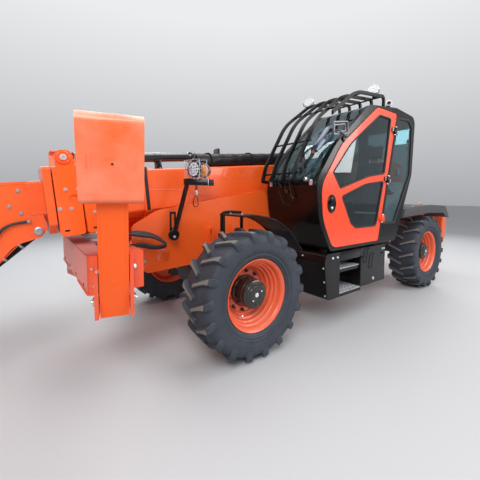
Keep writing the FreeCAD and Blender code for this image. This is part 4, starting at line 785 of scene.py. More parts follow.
def makeDoorFurniture():
    out = cab["out"]
    bm = bmesh.new()
    # Oval handle cup with its paddle and lock
    upright = movedAt(0.815, out, 1.405) @ sideFrame(0)
    oval = upright @ Matrix.Diagonal((0.68, 1.0, 1.0, 1.0))
    addLathe(bm, [(0.099, -0.002), (0.101, 0.006), (0.098, 0.012), (0.09, 0.016), (0.08, 0.012),
        (0.074, 0.0065), (0, 0.0055)], oval, 48)
    addPlate(bm, [(-0.034, -0.006), (0.034, -0.006), (0.04, 0.052), (0.02, 0.07), (-0.02, 0.07),
        (-0.04, 0.052)], upright @ moved(0, 0, 0.006), 0.012, 0.003, 0, 0.01)
    addLathe(bm, capped(0.016, 0.012, (0.011, 0.015)), upright @ moved(0, -0.045, 0.003), 24, 1)
    addBlock(bm, (-0.002, -0.052, 0.017), (0.002, -0.038, 0.0185), 0, 0, upright)
    finishPiece("doorHandle", bm, ["gunPaint", "brightSteel"], "door", 40)
    # Hinges: knuckle, two leaves, bright bolts
    lean = Vector((-0.396, 0, 1.67)).normalized()
    foot = at(-0.176, out, 0.92)
    doorBm, cabBm = bmesh.new(), bmesh.new()
    for share, paint in ((0.17, 2), (0.47, 0), (0.86, 0)):
        centre = foot + lean * share * 1.716 + Vector((0, 0.016, 0))
        place = axisFrame(centre, lean)
        addLathe(doorBm, [(0.0185, -0.047), (0.0205, -0.043), (0.0205, 0.043), (0.0185, 0.047)], place, 20,
            paint)
        addLathe(doorBm, [(0.011, -0.058), (0.013, -0.056), (0.013, 0.056), (0.011, 0.058)], place, 14, 1)
        across = Vector((lean.z, 0, -lean.x))
        for bm, sign in ((doorBm, 1), (cabBm, -1)):
            leaf = frameFrom(across * sign, lean, (0, 1, 0), centre + Vector((0, -0.016, 0)))
            addPlate(bm, [(0.014, -0.032), (0.08, -0.026), (0.08, 0.026), (0.014, 0.032)], leaf, 0.012,
                0.003, paint, 0.012)
            for up in (-0.013, 0.013):
                spot = leaf @ Vector((0.058, up, 0.012))
                addBolt(bm, spot, (0, 1, 0), 0.0085, paint or 1)
    finishPiece("doorHinges", doorBm, ["gunPaint", "brightSteel", "doorPaint"], "door", 40)
    finishPiece("doorHingeLeaves", cabBm, ["gunPaint", "brightSteel", "doorPaint"], "chassis",
        40)


def makeMirrors():
    # Left: a bracket of square tube off the post, its blade hanging forward inside the guard
    bm = bmesh.new()
    y = cab["out"]
    addTube(bm, [at(0.61, y + 0.002, 2.136), at(0.61, y + 0.036, 2.136), at(0.752, y + 0.036, 2.192),
        at(0.752, y - 0.085, 2.192)], 0.01, 12, 1, bend=0.014)
    for grow, level in ((0, 0.028), (-0.026, 0.012)):
        frame4 = [at(0.6 - grow, y + level, 2.306 + grow), at(0.812 + grow, y + level - 0.03, 2.276 + grow),
            at(0.8 + grow, y + level - 0.03, 2.15 - grow), at(0.59 - grow, y + level, 2.18 - grow)]
        addTube(bm, frame4, 0.0075, 8, 1, loop=True, section=(0.016, 0.016))
    clamp = movedAt(0.606, y + 0.004, 2.14) @ turned(-0.62, "Y")
    addBlock(bm, (-0.022, 0, -0.045), (0.022, 0.016, 0.045), 0.004, 1, clamp)
    for up in (-0.03, 0.03):
        addBolt(bm, clamp @ Vector((0, 0.016, up)), (0, 1, 0), 0.008, 1)
    addLathe(bm, [(0.017, -0.03), (0.019, -0.02), (0.019, 0.02), (0.017, 0.03)],
        axisFrame(at(0.745, y - 0.06, 2.215), (0, 1, 0)), 20)
    down = Vector((0.322, 0, -0.336)).normalized()
    blade = frameFrom((-down.z, 0, down.x), down, (0, 1, 0), at(0.64, y - 0.182, 2.292))
    addPlate(bm, [(-0.016, -0.01), (0.03, -0.01), (0.04, 0.08), (0.04, 0.4), (0.026, 0.462), (-0.01, 0.462),
        (-0.024, 0.4), (-0.026, 0.08)], blade @ moved(0, 0, 0.011), 0.082, 0.014, 2, 0.02, 4)
    addPlate(bm, rect(-0.018, 0.02, -0.0135, 0.43), blade @ moved(-0.0085, 0, 0.04), 0.04, 0.001, 3)
    knob = axisFrame(blade @ Vector((0.008, 0.47, 0.052)), down)
    addLathe(bm, [(0.012, -0.02), (0.018, -0.01), (0.021, 0.002), (0.021, 0.022), (0.014, 0.034),
        (0, 0.036)], knob, 20, 4)
    finishPiece("mirrorLeft", bm, ["blackPlastic", "mirrorEdge", "mirrorBlue", "mirrorFace", "knobRed"],
        "chassis", 40)
    # Right: a stalk on the hood with a shell mirror
    bm = bmesh.new()
    top = Vector((midX + 0.8275, -1.13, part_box("mirrors")[1].z - 0.15))
    addTube(bm, [at(0.83, -0.9, 1.4805), at(0.83, -0.9, 1.56), Vector((midX + 0.83, -1.1, top.z - 0.13)),
        Vector((midX + 0.83, -1.1, top.z + 0.1))], 0.013, bend=0.05)
    addLathe(bm, [(0.04, 0), (0.042, 0.004), (0.034, 0.01), (0.019, 0.016), (0.018, 0.06), (0.014, 0.064)],
        axisFrame(at(0.83, -0.9, 1.4805), (0, 0, 1)), 24)
    shell = Matrix.Translation(top) @ turned(pi / 2, "Y")
    addPlate(bm, rect(-0.148, -0.088, 0.148, 0.078), shell @ moved(0, 0, -0.004), 0.03, 0.011, 0, 0.04, 4)
    addPlate(bm, rect(-0.132, -0.074, 0.132, 0.064), shell @ moved(0, 0, -0.0065), 0.004, 0.001, 1, 0.03)
    finishPiece("mirrorRight", bm, ["blackPlastic", "mirrorFace"], "chassis", 40,
        ["mirrors"])


def addCage(bm, place, radius, depth, bars, rings):
    # Wire basket in front of a lamp, open towards -Z of the frame
    wire = 0.0028
    for k in range(rings):
        t = k / max(1, rings - 1)
        r, z = radius * (1 - 0.35 * t * t), depth * (0.15 + 0.85 * t)
        addTube(bm, [place @ polar(r, 2 * pi * j / 28, z) for j in range(28)], wire, 6, 1, loop=True)
    for k in range(bars):
        angle = pi * k / bars
        path = []
        for j in range(13):
            t = -1 + 2 * j / 12
            lift = depth * sqrt(max(0, 1 - (abs(t) ** 3.2)))
            path.append(place @ polar(radius * t, angle, lift))
        addTube(bm, path, wire, 6, 1)


def addLeds(bm, place, pitch, level, profile, sides, material):
    for row, count in ((0, 1), (1, 6), (2, 12)):
        for k in range(count):
            spot = place @ moved(*polar(pitch * row, 2 * pi * k / count, level))
            addLathe(bm, profile, spot, sides, material)


def addLens(bm, place, radius, bulge, material):
    rings = 5
    profile = [(radius, -0.002), (radius, 0)]
    for k in range(1, rings):
        t = k / rings
        profile.append((radius * cos(t * pi / 2), bulge * sin(t * pi / 2)))
    profile.append((0, bulge))
    addLathe(bm, profile, place, 32, material)


def makeHeadlamp(side):
    mark = "Left" if side > 0 else "Right"
    plateY = 0.36
    bm = bmesh.new()
    # Slotted link, arm of box tube, cross bar with a lighter end
    link = movedAt(0, side * (plateY + (0.06 if side > 0 else 0.0705)), 0) @ sideFrame(0)
    outline = roundLoop(rect(2.35, 1.085, 2.29, 1.33), [0.028, 0.028, 0.008, 0.008])
    hole = roundLoop(rect(2.335, 1.17, 2.305, 1.31), [0.012] * 4)
    layers = []
    for loop, level in ((outline, 0), (outline, 0.0105), (hole, 0.0105), (hole, 0)):
        layers.append([bm.verts.new(link @ Vector((p.x, p.y, level))) for p in loop])
    for k, (a, b) in enumerate(zip(layers, layers[1:] + layers[:1])):
        for j in range(len(a)):
            n = (j + 1) % len(a)
            bm.faces.new([a[j], a[n], b[n], b[j]])
    y = side * (plateY + 0.083)
    addTube(bm, [at(2.322, y, 1.1), at(2.3, y, 1.16), at(2.178, y, 1.585), at(2.175, y, 1.612)], 0.02,
        section=(0.052, 0.03))
    boss = axisFrame(at(2.318, side * (plateY + 0.068), 1.105), (0, side, 0))
    addLathe(bm, [(0.05, 0), (0.052, 0.004), (0.052, 0.03), (0.047, 0.034), (0, 0.034)], boss)
    addBolt(bm, at(2.318, side * (plateY + 0.102), 1.088), (0, side, 0), 0.011, 2)
    addBolt(bm, at(2.318, side * (plateY + 0.08), 1.15), (0, side, 0), 0.013, 2, hollow=True)
    addLathe(bm, [(0.022, -0.066), (0.022, 0.03), (0, 0.03)], boss, 16)
    low, high = plateY + 0.052, plateY + 0.118
    block = [(2.198, 1.6535), (2.198, 1.5915), (1.952, 1.5915), (1.952, 1.6535)]
    face = movedAt(0, side * (low if side > 0 else high), 0) @ sideFrame(0)
    addPlate(bm, block, face, high - low, 0.004, 3)
    block = [(1.95, 1.6545), (1.95, 1.5905), (1.884, 1.5905), (1.884, 1.6545)]
    addPlate(bm, block, face, high - low, 0.004, 4)
    addPlate(bm, [(1.9545, 1.6555), (1.9545, 1.5895), (1.9495, 1.5895), (1.9495, 1.6555)], face,
        high - low + 0.001, 0.001, 5)
    # Lamps on short stems
    for x in (2.075, 2.01):
        addLathe(bm, capped(0.016, 0.016, (0.009, 0.02), (0.009, 0.055)),
            axisFrame(at(x, side * (plateY + 0.1), 1.653), (0, 0, 1)), 14, 2)
    led = axisFrame(at(2.098, side * (plateY + 0.112), 1.748), (1, side * 0.3, 0))
    addLathe(bm, [(0, -0.058), (0.035, -0.056), (0.058, -0.04), (0.076, -0.012), (0.081, 0), (0.083, 0.022),
        (0.08, 0.028), (0.0755, 0.028), (0.074, 0.018), (0, 0.016)], led, 40)
    addLeds(bm, led, 0.0285, 0.017, [(0.014, 0), (0.0135, 0.005), (0.009, 0.0015), (0.005, 0.001),
        (0.004, 0.004), (0, 0.005)], 6, 6)
    flash = axisFrame(at(1.985, side * (plateY + 0.105), 1.738), (0.93, side * 0.42, 0))
    addLathe(bm, [(0, -0.05), (0.04, -0.046), (0.06, -0.02), (0.068, 0), (0.07, 0.018), (0.066, 0.022),
        (0, 0.02)], flash, 36)
    addLens(bm, flash @ moved(0, 0, 0.02), 0.062, 0.022, material=7)
    for k in range(5):
        addLathe(bm, [(0.01 + 0.011 * k, 0), (0.0125 + 0.011 * k, 0.003), (0.015 + 0.011 * k, 0)],
            flash @ moved(0, 0, 0.0425 - 0.0042 * k - 0.0012 * k * k), 28, 7)
    # Loop of cable under the bracket, held by a clamped grey ferrule
    loop = [at(2.075, y, 1.592), at(2.078, y, 1.552), at(2.072, y, 1.5), at(2.108, y, 1.44),
        at(2.106, y, 1.385), at(2.078, y, 1.368), at(2.052, y, 1.388), at(2.05, y, 1.44), at(2.07, y, 1.5),
        at(2.066, y, 1.552), at(2.062, y, 1.592)]
    addTube(bm, loop, 0.0042, 8, 3, bend=0.03, steps=4)
    addLathe(bm, [(0.008, -0.024), (0.0135, -0.02), (0.0135, 0.02), (0.01, 0.028), (0, 0.028)],
        axisFrame(at(2.071, y, 1.512), (0.08, 0, 1)), 16, 1)
    finishPiece("headlamp" + mark, bm, ["blackPaint", "zincSteel", "brightSteel", "gunPaint",
        "blackPlastic", "brightSteel", "lampLens", "amberLens"], "chassis", 35,
        ["headlamps"] if side > 0 else ())
    bm = bmesh.new()
    addCage(bm, led @ moved(0.012, 0, 0.02), 0.1, 0.062, 4, 2)
    for corner in ((-0.1, -0.09), (-0.1, 0.09), (0.1, -0.09), (0.1, 0.09)):
        addTube(bm, [led @ Vector((corner[0], corner[1], 0.045)), led @ Vector((corner[0], corner[1],
            -0.06))], 0.0028, 6, 1)
    for level in (0.045, -0.06):
        addTube(bm, [led @ Vector(p) for p in ((-0.1, -0.09, level), (0.1, -0.09, level),
            (0.1, 0.09, level), (-0.1, 0.09, level))], 0.0028, 6, 1, loop=True)
    addCage(bm, flash @ moved(0, 0, 0.022), 0.078, 0.06, 3, 3)
    finishPiece("lampCage" + mark, bm, ["blackPaint", "zincSteel"], "chassis", 40)


def makeRoofLamps():
    bm = bmesh.new()
    bar0, bar4 = cab["in"] + 0.04, cab["out"] - 0.04 - 0.026
    for x, y, z, foot, bar in ((0.276, 0.35, 2.787, 2.704, bar0 - 0.0005),
            (-0.196, 1.018, 2.867, 2.767, bar4 - 0.0005)):
        # A round white lamp head looking forward and a little out, ribbed behind
        place = axisFrame(at(x, y, z), (0.9, 0.42, 0.06))
        addLathe(bm, [(0, -0.03), (0.034, -0.029), (0.046, -0.022), (0.056, -0.008), (0.0645, -0.002),
            (0.066, 0.01), (0.064, 0.016), (0.058, 0.0175), (0.056, 0.012), (0, 0.012)], place, 40, 2)
        for k in range(4):
            addLathe(bm, [(0.036 + k * 0.006, -0.0012), (0.043 + k * 0.0058, 0),
                (0.036 + k * 0.006, 0.0012)], place @ moved(0, 0, -0.027 + k * 0.0055), 32, 1)
        addLeds(bm, place, 0.0205, 0.0125, [(0.0096, 0), (0.0092, 0.0028), (0.003, 0.001), (0, 0.002)], 8, 3)
        addTube(bm, [at(x, y, foot), at(x, y, z - 0.06)], 0.0095)
        addTube(bm, [at(x, y - 0.012, foot), at(x, bar, foot)], 0.0112)
        for side in (1, -1):
            across = place.col[0].to_3d() if abs(place.col[0].z) < 0.5 else place.col[1].to_3d()
            hub = at(x, y, z) + across * side * 0.067
            addTube(bm, [at(x, y, z - 0.066), at(x, y, z - 0.066) + across * side * 0.045,
                hub + Vector((0, 0, -0.045)), hub], 0.0045, 8, bend=0.015)
            addBolt(bm, hub, across * side, 0.008, 1)
        addLathe(bm, [(0.013, -0.004), (0.015, 0), (0.015, 0.012), (0, 0.012)],
            axisFrame(at(x, y, z - 0.072), (0, 0, 1)), 18)
    # Small round lamp with a white ring, and its stem
    place = axisFrame(at(-0.56, 1.04, 2.745), (0.86, 0.5, 0.05))
    addLathe(bm, [(0, -0.06), (0.026, -0.058), (0.031, -0.05), (0.032, 0.03), (0.036, 0.034),
        (0.036, 0.044), (0.03, 0.047), (0.022, 0.044), (0.02, 0.03), (0, 0.028)], place)
    addLathe(bm, [(0.0365, 0.0335), (0.038, 0.036), (0.038, 0.043), (0.034, 0.0475), (0.027, 0.0475),
        (0.0265, 0.044), (0.0345, 0.043), (0.0355, 0.0385)], place, 32, 2, closed=True)
    addLathe(bm, [(0.034, 0), (0.036, 0.004), (0.02, 0.01), (0.012, 0.02), (0.012, 0.055), (0, 0.055)],
        axisFrame(at(-0.56, 1.04, 2.664), (0, 0, 1)), 24)
    finishPiece("roofLamps", bm, ["blackPaint", "brightSteel", "lampWhite", "lampLens"], "chassis",
        35, ["roof_lamps"])


makeSeals()
makeDoorFurniture()
makeMirrors()
makeHeadlamp(1)
makeHeadlamp(-1)
makeRoofLamps()
print("stage: cab dressing and lamps")


# Boom: side plates of the collars, bolts, strap, welds and the hoses' bundle on top

boom = {"pivot": (-2.3, 0, 1.955), "slope": 5.3}
boomPlace = movedAt(*boom["pivot"]) @ turned(radians(boom["slope"]), "Y")


def headPoint(along, up):
    return boomPlace @ Vector((along, 0, up))


def boomSide(side, y):
    return boomPlace @ sideFrame(side * y, side < 0)


def stadium(u, v, long, wide, steps=8):
    # Rounded slot round (u, v), its length along the first axis
    half, points = (long - wide) / 2, []
    for end, start in ((1, -pi / 2), (-1, pi / 2)):
        for k in range(steps + 1):
            angle = start + pi * k / steps
            points.append((u + end * half + wide / 2 * cos(angle), v + wide / 2 * sin(angle)))
    return points


def disc(u, v, radius, count=16):
    return [(u + radius * cos(2 * pi * k / count), v + radius * sin(2 * pi * k / count))
        for k in range(count)]


def addHoledPlate(bm, outline, holes, place, thick, material=0):
    levels = []
    for level in (0, thick):
        loops, edges = [], []
        for loop in [outline] + list(holes):
            verts = [bm.verts.new(place @ Vector((p[0], p[1], level))) for p in loop]
            edges += [bm.edges.new((verts[k], verts[(k + 1) % len(verts)])) for k in range(len(verts))]
            loops.append(verts)
        filled = bmesh.ops.triangle_fill(bm, edges=edges, use_beauty=True)
        for face in filled["geom"]:
            if isinstance(face, bmesh.types.BMFace):
                face.material_index = material
        levels.append(loops)
    for low, high in zip(*levels):
        for k in range(len(low)):
            n = (k + 1) % len(low)
            bm.faces.new([low[k], low[n], high[n], high[k]]).material_index = material


def flatLoop(corners, radii):
    return [(p.x, p.y) for p in roundLoop(corners, radii, steps=5)]


def makeCollars():
    # Collar of the base section, then the one on section 2
    sets = (("boom", 5.264, 5.386, [(5.3155, -0.128), (5.33, 0.12)], [(5.321, -0.262)], []),
        ("section_2", 5.402, 5.589, [(5.513, 0.084), (5.421, 0.083), (5.57, -0.073), (5.487, -0.077)],
        [(5.538, -0.258)], [(5.461, 0.005)]))
    for body, back, front, bolts, slots, rounds in sets:
        bm = bmesh.new()
        for side in (1, -1):
            place = boomSide(side, 0.2653)
            outline = flatLoop([(back, -0.302), (front, -0.302), (front, 0.25), (front - 0.035, 0.279),
                (back, 0.279)], [0.024, 0.024, 0.012, 0.012, 0.004])
            holes = [stadium(u, v, 0.04, 0.017) for u, v in slots]
            holes += [disc(u, v, 0.034, 32) for u, v in rounds]
            addHoledPlate(bm, outline, holes, place, 0.011)
            # Thin black sheet at the floor of each slot: painted shade in the slot
            for u, v in slots:
                addPlate(bm, rect(u - 0.03, v - 0.014, u + 0.03, v + 0.014), place @ moved(0, 0, -0.0002),
                    0.0012, 0, 2)
            for u, v in bolts:
                addBolt(bm, place @ Vector((u, v, 0.011)), (0, side, 0), 0.0125, 1, hollow=True)
        # Wear pad adjusters on the collar's top
        for across in (-0.17, -0.06):
            spot = boomPlace @ moved((back + front) / 2, across, 0.2795)
            addBlock(bm, (-0.04, -0.028, 0), (0.04, 0.028, 0.01), 0.003, 0, spot)
            for u in (-0.022, 0.022):
                addBolt(bm, spot @ Vector((u, 0, 0.01)), boomPlace.col[2].to_3d(), 0.0085, 1)
        finishPiece("collarPlates_" + body, bm, ["orangePaint", "brightSteel", "rubberSeal"], body,
            30)


def makeBoomSides():
    bm = bmesh.new()
    for side in (1, -1):
        place = boomSide(side, 0.22)
        # Black strap over the band near the front
        addPlate(bm, rect(4.803, -0.166, 4.836, 0.251), boomSide(side, 0.2362), 0.0035, 0.001, 1)
        for points in ([(4.45, 0.004), (4.788, 0.029)], [(4.855, 0.034), (5.255, 0.062)],
                [(4.45, 0.004), (4.33, 0.036), (4.205, 0.085), (3.9, 0.104), (3.646, 0.1), (2.9, 0.1)],
                [(4.45, 0.004), (4.33, -0.034), (4.205, -0.082), (3.9, -0.1), (2.9, -0.1)]):
            addTube(bm, [place @ Vector((u, v, 0.0004)) for u, v in points], 0.0026, 6, bend=0.12)
        addTube(bm, [place @ Vector((u, -0.16, 0.0002)) for u in (0.4, 4.78)], 0.0022, 6)
        for u in (1.2, 2.0, 2.8):
            addLathe(bm, capped(0.03, 0.004, (0.024, 0.006)), place @ moved(u, 0.16, 0), 24)
            addBolt(bm, place @ Vector((u, 0.16, 0.006)), (0, side, 0), 0.011, 2)
    addBlock(bm, (4.803, -0.236, 0.2512), (4.836, 0.236, 0.2545), 0.001, 1, boomPlace)
    # Grease line with clips along the boom's upper right edge
    addTube(bm, [boomPlace @ Vector((u, -0.15, 0.2415)) for u in (0.3, 5.2)], 0.006, 8, 1)
    for k in range(9):
        addBlock(bm, (0.5 + 0.55 * k, -0.165, 0.2352), (0.53 + 0.55 * k, -0.135, 0.25), 0.002, 2, boomPlace)
    finishPiece("boomDressing", bm, ["orangePaint", "rubberSeal", "brightSteel"], "boom", 35)


def makeHoseCarrier():
    bm = bmesh.new()
    random.seed(7)
    y, low, half, high = 0.09, 0.2355, 0.11, 0.0812
    around, rings = 28, []
    count = 134
    for k in range(count + 1):
        u = 0.2 + 4.0 * k / count
        ring = []
        for j in range(around):
            angle = 2 * pi * j / around
            c, s = cos(angle), sin(angle)
            fold = 0.5 + 0.5 * sin(31 * u + 2.2 * sin(5.3 * u) + 1.6 * s)
            shrink = 1 - 0.055 * fold - 0.04 * random.random() * (s > -0.5) - 0.03 * abs(sin(2.1 * u + c))
            if k in (0, count):
                shrink = 0.86
            a = half * copysign(abs(c) ** 0.75, c) * shrink
            b = high * copysign(abs(s) ** 0.8, s) * (shrink if s > 0 else 1.0)
            ring.append(bm.verts.new(boomPlace @ Vector((u, y + a, low + high + b))))
        rings.append(ring)
    for first, second in zip(rings, rings[1:]):
        for j in range(around):
            n = (j + 1) % around
            bm.faces.new([first[j], first[n], second[n], second[j]])
    bm.faces.new(rings[0])
    bm.faces.new(rings[-1])
    for k in range(7):
        u = 0.42 + 0.6 * k
        band = [boomPlace @ Vector((u, y + half * copysign(abs(cos(a)) ** 0.75, cos(a)) * 0.985,
            low + high + high * copysign(abs(sin(a)) ** 0.8, sin(a)) * 0.985))
            for a in (2 * pi * j / 32 for j in range(32))]
        addTube(bm, band, 0.004, 6, 1, loop=True, section=(0.026, 0.005))
    tube = boomPlace @ moved(0, y, 0.358) @ turned(pi / 2, "Y")
    profile = [(0, 4.19), (0.04, 4.19), (0.06, 4.2), (0.062, 4.214), (0.06, 4.262), (0.0505, 4.272),
        (0.0478, 4.28)]
    for u in (4.585, 5.165):
        profile += [(0.0478, u), (0.051, u + 0.002), (0.051, u + 0.082), (0.0478, u + 0.084)]
    profile += [(0.0478, 5.33), (0.05, 5.334), (0.05, 5.38), (0.046, 5.3848), (0, 5.3848)]
    addLathe(bm, profile, tube, 40, 2)
    for u in (4.6, 5.18):
        addBlock(bm, (u, y - 0.04, 0.2354), (u + 0.05, y + 0.04, 0.33), 0.004, 3, boomPlace)
        for across in (-0.05, 0.05):
            addBlock(bm, (u, y + across - 0.012, 0.2354), (u + 0.05, y + across + 0.012, 0.2434), 0.002, 3,
                boomPlace)
            addBolt(bm, boomPlace @ Vector((u + 0.025, y + across, 0.2434)), boomPlace.col[2].to_3d(),
                0.007, 4)
    finishPiece("hoseBundle", bm, ["hoseSleeve", "rubberSeal", "tubeSheath", "gunPaint", "brightSteel"],
        "boom", 50, ["hose_carrier"])
    # Boss with its grey cap on the bracket the hoses run into
    bm = bmesh.new()
    for side, level in ((1, 0.1453), (-1, 0.0347)):
        place = boomPlace @ moved(5.486, level, 0.362) @ sideFrame(0, side < 0)
        addLathe(bm, capped(0.058, 0.008, (0.052, 0.014), (0.04, 0.014), (0.039, 0.01)), place, 36)
        addLathe(bm, [(0.028, 0.01), (0.029, 0.018), (0.025, 0.024), (0.01, 0.026), (0.008, 0.022),
            (0, 0.022)], place, 32, 1)
        for k in range(4):
            spot = place @ polar(0.047, quarter(k), 0.014)
            addBolt(bm, spot, (0, side, 0), 0.0045, 2, washer=False)
    for z in (0.325, 0.362, 0.395):
        addTube(bm, [boomPlace @ Vector(p) for p in ((5.4115, 0.062 + (z - 0.32) * 0.6, z),
            (5.3985, 0.062 + (z - 0.32) * 0.6, z))], 0.013, 12, 3)
    finishPiece("hoseBoss", bm, ["orangePaint", "capGrey", "brightSteel", "rubberSeal"], "section_2",
        35)


def makeHead():
    # Pins, keeper plates and hoses of the boom's head
    bm = bmesh.new()
    for u, v, r in ((6.297, -0.761, 0.048), (5.73, -0.24, 0.034)):
        for side in (1, -1):
            place = boomSide(side, 0.1502 if r < 0.04 else 0.1912)
            addLathe(bm, [(r, 0), (r, 0.01), (r - 0.006, 0.014), (0.012, 0.014), (0.01, 0.01), (0, 0.01)],
                place @ moved(u, v, 0), 32, 1)
    for side in (1, -1):
        place = boomSide(side, 0.1502)
        for u, v in ((5.83, 0.1), (5.9, -0.02), (6.02, 0.02), (5.83, -0.08)):
            addBolt(bm, place @ Vector((u, v, 0)), (0, side, 0), 0.012, 1)
        addTube(bm, [place @ Vector(p) for p in ((5.79, -0.15, 0.012), (5.95, -0.16, 0.02),
            (6.12, -0.42, 0.02), (6.215, -0.62, 0.012))], 0.01, 10, 2, bend=0.12)
        for u, v in ((5.79, -0.15), (6.215, -0.62)):
            addLathe(bm, capped(0.016, 0.02, (0.012, 0.026)), place @ moved(u, v, 0), 6, 1)
        for points in ([(5.76, 0.155), (6.03, 0.155), (6.36, -0.6)],
                [(5.7, -0.2), (5.88, -0.33), (6.17, -0.6)]):
            addTube(bm, [place @ Vector((u, v, 0.0003)) for u, v in points], 0.003, 6, bend=0.05)
    finishPiece("headDressing", bm, ["orangePaint", "zincSteel", "hoseRubber"], "section_4",
        35)


# Stabilisers: pad welds and hole, leg edges, pins of the crossbeam

stabiliser = {"foot": (2.937, 0.728, 0.68), "turn": 13.4, "lean": 11}


def footAt(side, up=stabiliser["foot"][2]):
    return at(stabiliser["foot"][0], side * stabiliser["foot"][1], up)


def legFrame(side):
    swing = turned(radians(-side * stabiliser["turn"]), "Z")
    return Matrix.Translation(footAt(side)) @ swing @ turned(radians(-side * stabiliser["lean"]), "X")


def makeStabilisers():
    for side, mark in ((1, "left"), (-1, "right")):
        place = legFrame(side)
        face = place @ sideFrame(side * 0.145, side < 0)
        bm = bmesh.new()
        for u, v, wide, high in ((0.1305, 1.061, 0.029, 0.098), (-0.152, 1.042, 0.016, 0.092)):
            loop = [face @ Vector((u + a * wide / 2, v + b * high / 2, 0.0002))
                for a, b in rect(-1, -1, 1, 1)]
            addTube(bm, loop, 0.0019, 6, loop=True)
        addLathe(bm, [(0.0125, 0), (0.0115, 0.0014), (0.0085, 0.0014), (0.008, 0.0004), (0, 0.0004)],
            face @ moved(-0.004, 1.052, 0), 24)
        # Black disc in the ring: painted shade for the inside of the pad's hole
        addLathe(bm, capped(0.0082, 0.0008), face @ moved(-0.004, 1.052, 0), 20, 1)
        finishPiece("padDressing_" + mark, bm, ["padPaint", "rubberSeal"], "pad_" + mark, 40)
        bm = bmesh.new()
        web = place @ sideFrame(side * 0.085, side < 0)
        for u in (-0.0845, 0.0845):
            addTube(bm, [web @ Vector((u, v, 0.0001)) for v in (-0.085, 1.01)], 0.0016, 6)
        for end in (1, -1):
            ear = place @ Vector((end * 0.1018, side * 0.045, 1.075))
            addLathe(bm, capped(0.03, 0.006), axisFrame(ear, place.col[0].to_3d() * end), 24, 1)
        # Ram between the legs' flanges: barrel, gland and bright rod
        addLathe(bm, [(0.036, 0.2), (0.042, 0.204), (0.042, 0.64), (0.037, 0.646), (0.025, 0.648),
            (0, 0.648)], place @ moved(0, side * 0.02, 0), 28, 2)
        addLathe(bm, [(0.022, 0.64), (0.022, 0.86), (0, 0.86)], place @ moved(0, side * 0.02, 0), 24, 3)
        addBlock(bm, (-0.04, side * 0.02 - 0.03, 0.85), (0.04, side * 0.02 + 0.066, 0.9), 0.008, 0, place)
        addBlock(bm, (-0.03, side * 0.02 - 0.03, 0.15), (0.03, side * 0.02 + 0.066, 0.21), 0.008, 0, place)
        finishPiece("legDressing_" + mark, bm, ["legPaint", "zincSteel", "blackPaint", "rodChrome"],
            "leg_" + mark, 40)
    bm = bmesh.new()
    # The beam's cap plate with its rounded ends, and behind it a thin black sheet painted as the shade in
    # the beam's opening
    top = movedAt(0, 0, 1.0531)
    for side in (1, -1):
        cap = [(3.138, side * 0.3), (3.138, side * 0.8), (3.0, side * 0.8), (3.0, side * 0.3)]
        addHoledPlate(bm, flatLoop(cap, [0.002, 0.045, 0.004, 0.002]), [], top, 0.01, 4)
        addHoledPlate(bm, flatLoop(cap, [0.002, 0.045, 0.004, 0.002]), [], movedAt(0, 0, 0.762), 0.009)
        # Black sheet on the beam's top: painted shade for the dark inside of the opening
        addPlate(bm, rect(2.76, side * 0.1, 2.985, side * 0.56), top, 0.0014, 0, 2)
        addBolt(bm, at(3.07, side * 0.8005, 0.935), (0, side, 0), 0.017, 1)
        addBolt(bm, at(3.085, side * 0.8005, 0.83), (0, side, 0), 0.012, 1)
        axis = legFrame(side).col[0].to_3d()
        for end in (1, -1):
            place = axisFrame(footAt(side) + axis * end * 0.1338, axis * end)
            addLathe(bm, [(0.036, 0), (0.038, 0.004), (0.038, 0.014), (0.034, 0.018), (0, 0.018)], place,
                32, 1)
            addBolt(bm, place @ Vector((0, 0, 0.018)), axis * end, 0.016, 1)
        turn = Matrix.Rotation(radians(-side * stabiliser["turn"]), 3, "Z")
        for along, out, up in ((0.1342, 0.085, 0.955), (-0.1342, 0.055, 0.94)):
            spot = footAt(side, up) + turn @ Vector((along, side * out, 0))
            way = turn @ Vector((1 if along > 0 else -1, 0, 0))
            addLathe(bm, capped(0.027, 0.005), axisFrame(spot, way), 20, 2)
            addBolt(bm, spot + way * 0.005, way, 0.019, 1)
        # Hose from the beam's opening up to the leg
        addTube(bm, [at(2.8, side * 0.3, 1.055), at(2.79, side * 0.33, 1.15), at(2.77, side * 0.45, 1.11),
            at(2.8, side * 0.55, 1.05)], 0.011, 10, 3, bend=0.06)
    addPlate(bm, rect(2.985, -0.3, 3.138, 0.3), top, 0.01, 0, 4)
    for y in (-0.6, -0.2, 0.2, 0.6):
        addLathe(bm, capped(0.013, 0.002), axisFrame(at(3.13, y, 0.8), (1, 0, 0)), 16, 2)
    finishPiece("beamDressing", bm, ["dustyOrange", "brightSteel", "rubberSeal", "hoseRubber", "beamTop"],
        "chassis", 35)


makeCollars()
makeBoomSides()
makeHoseCarrier()
makeStabilisers()
print("stage: boom and stabilisers dressed")


# Step box: sill, punched treads, bolts and grab bars

stepFace = 1.1412


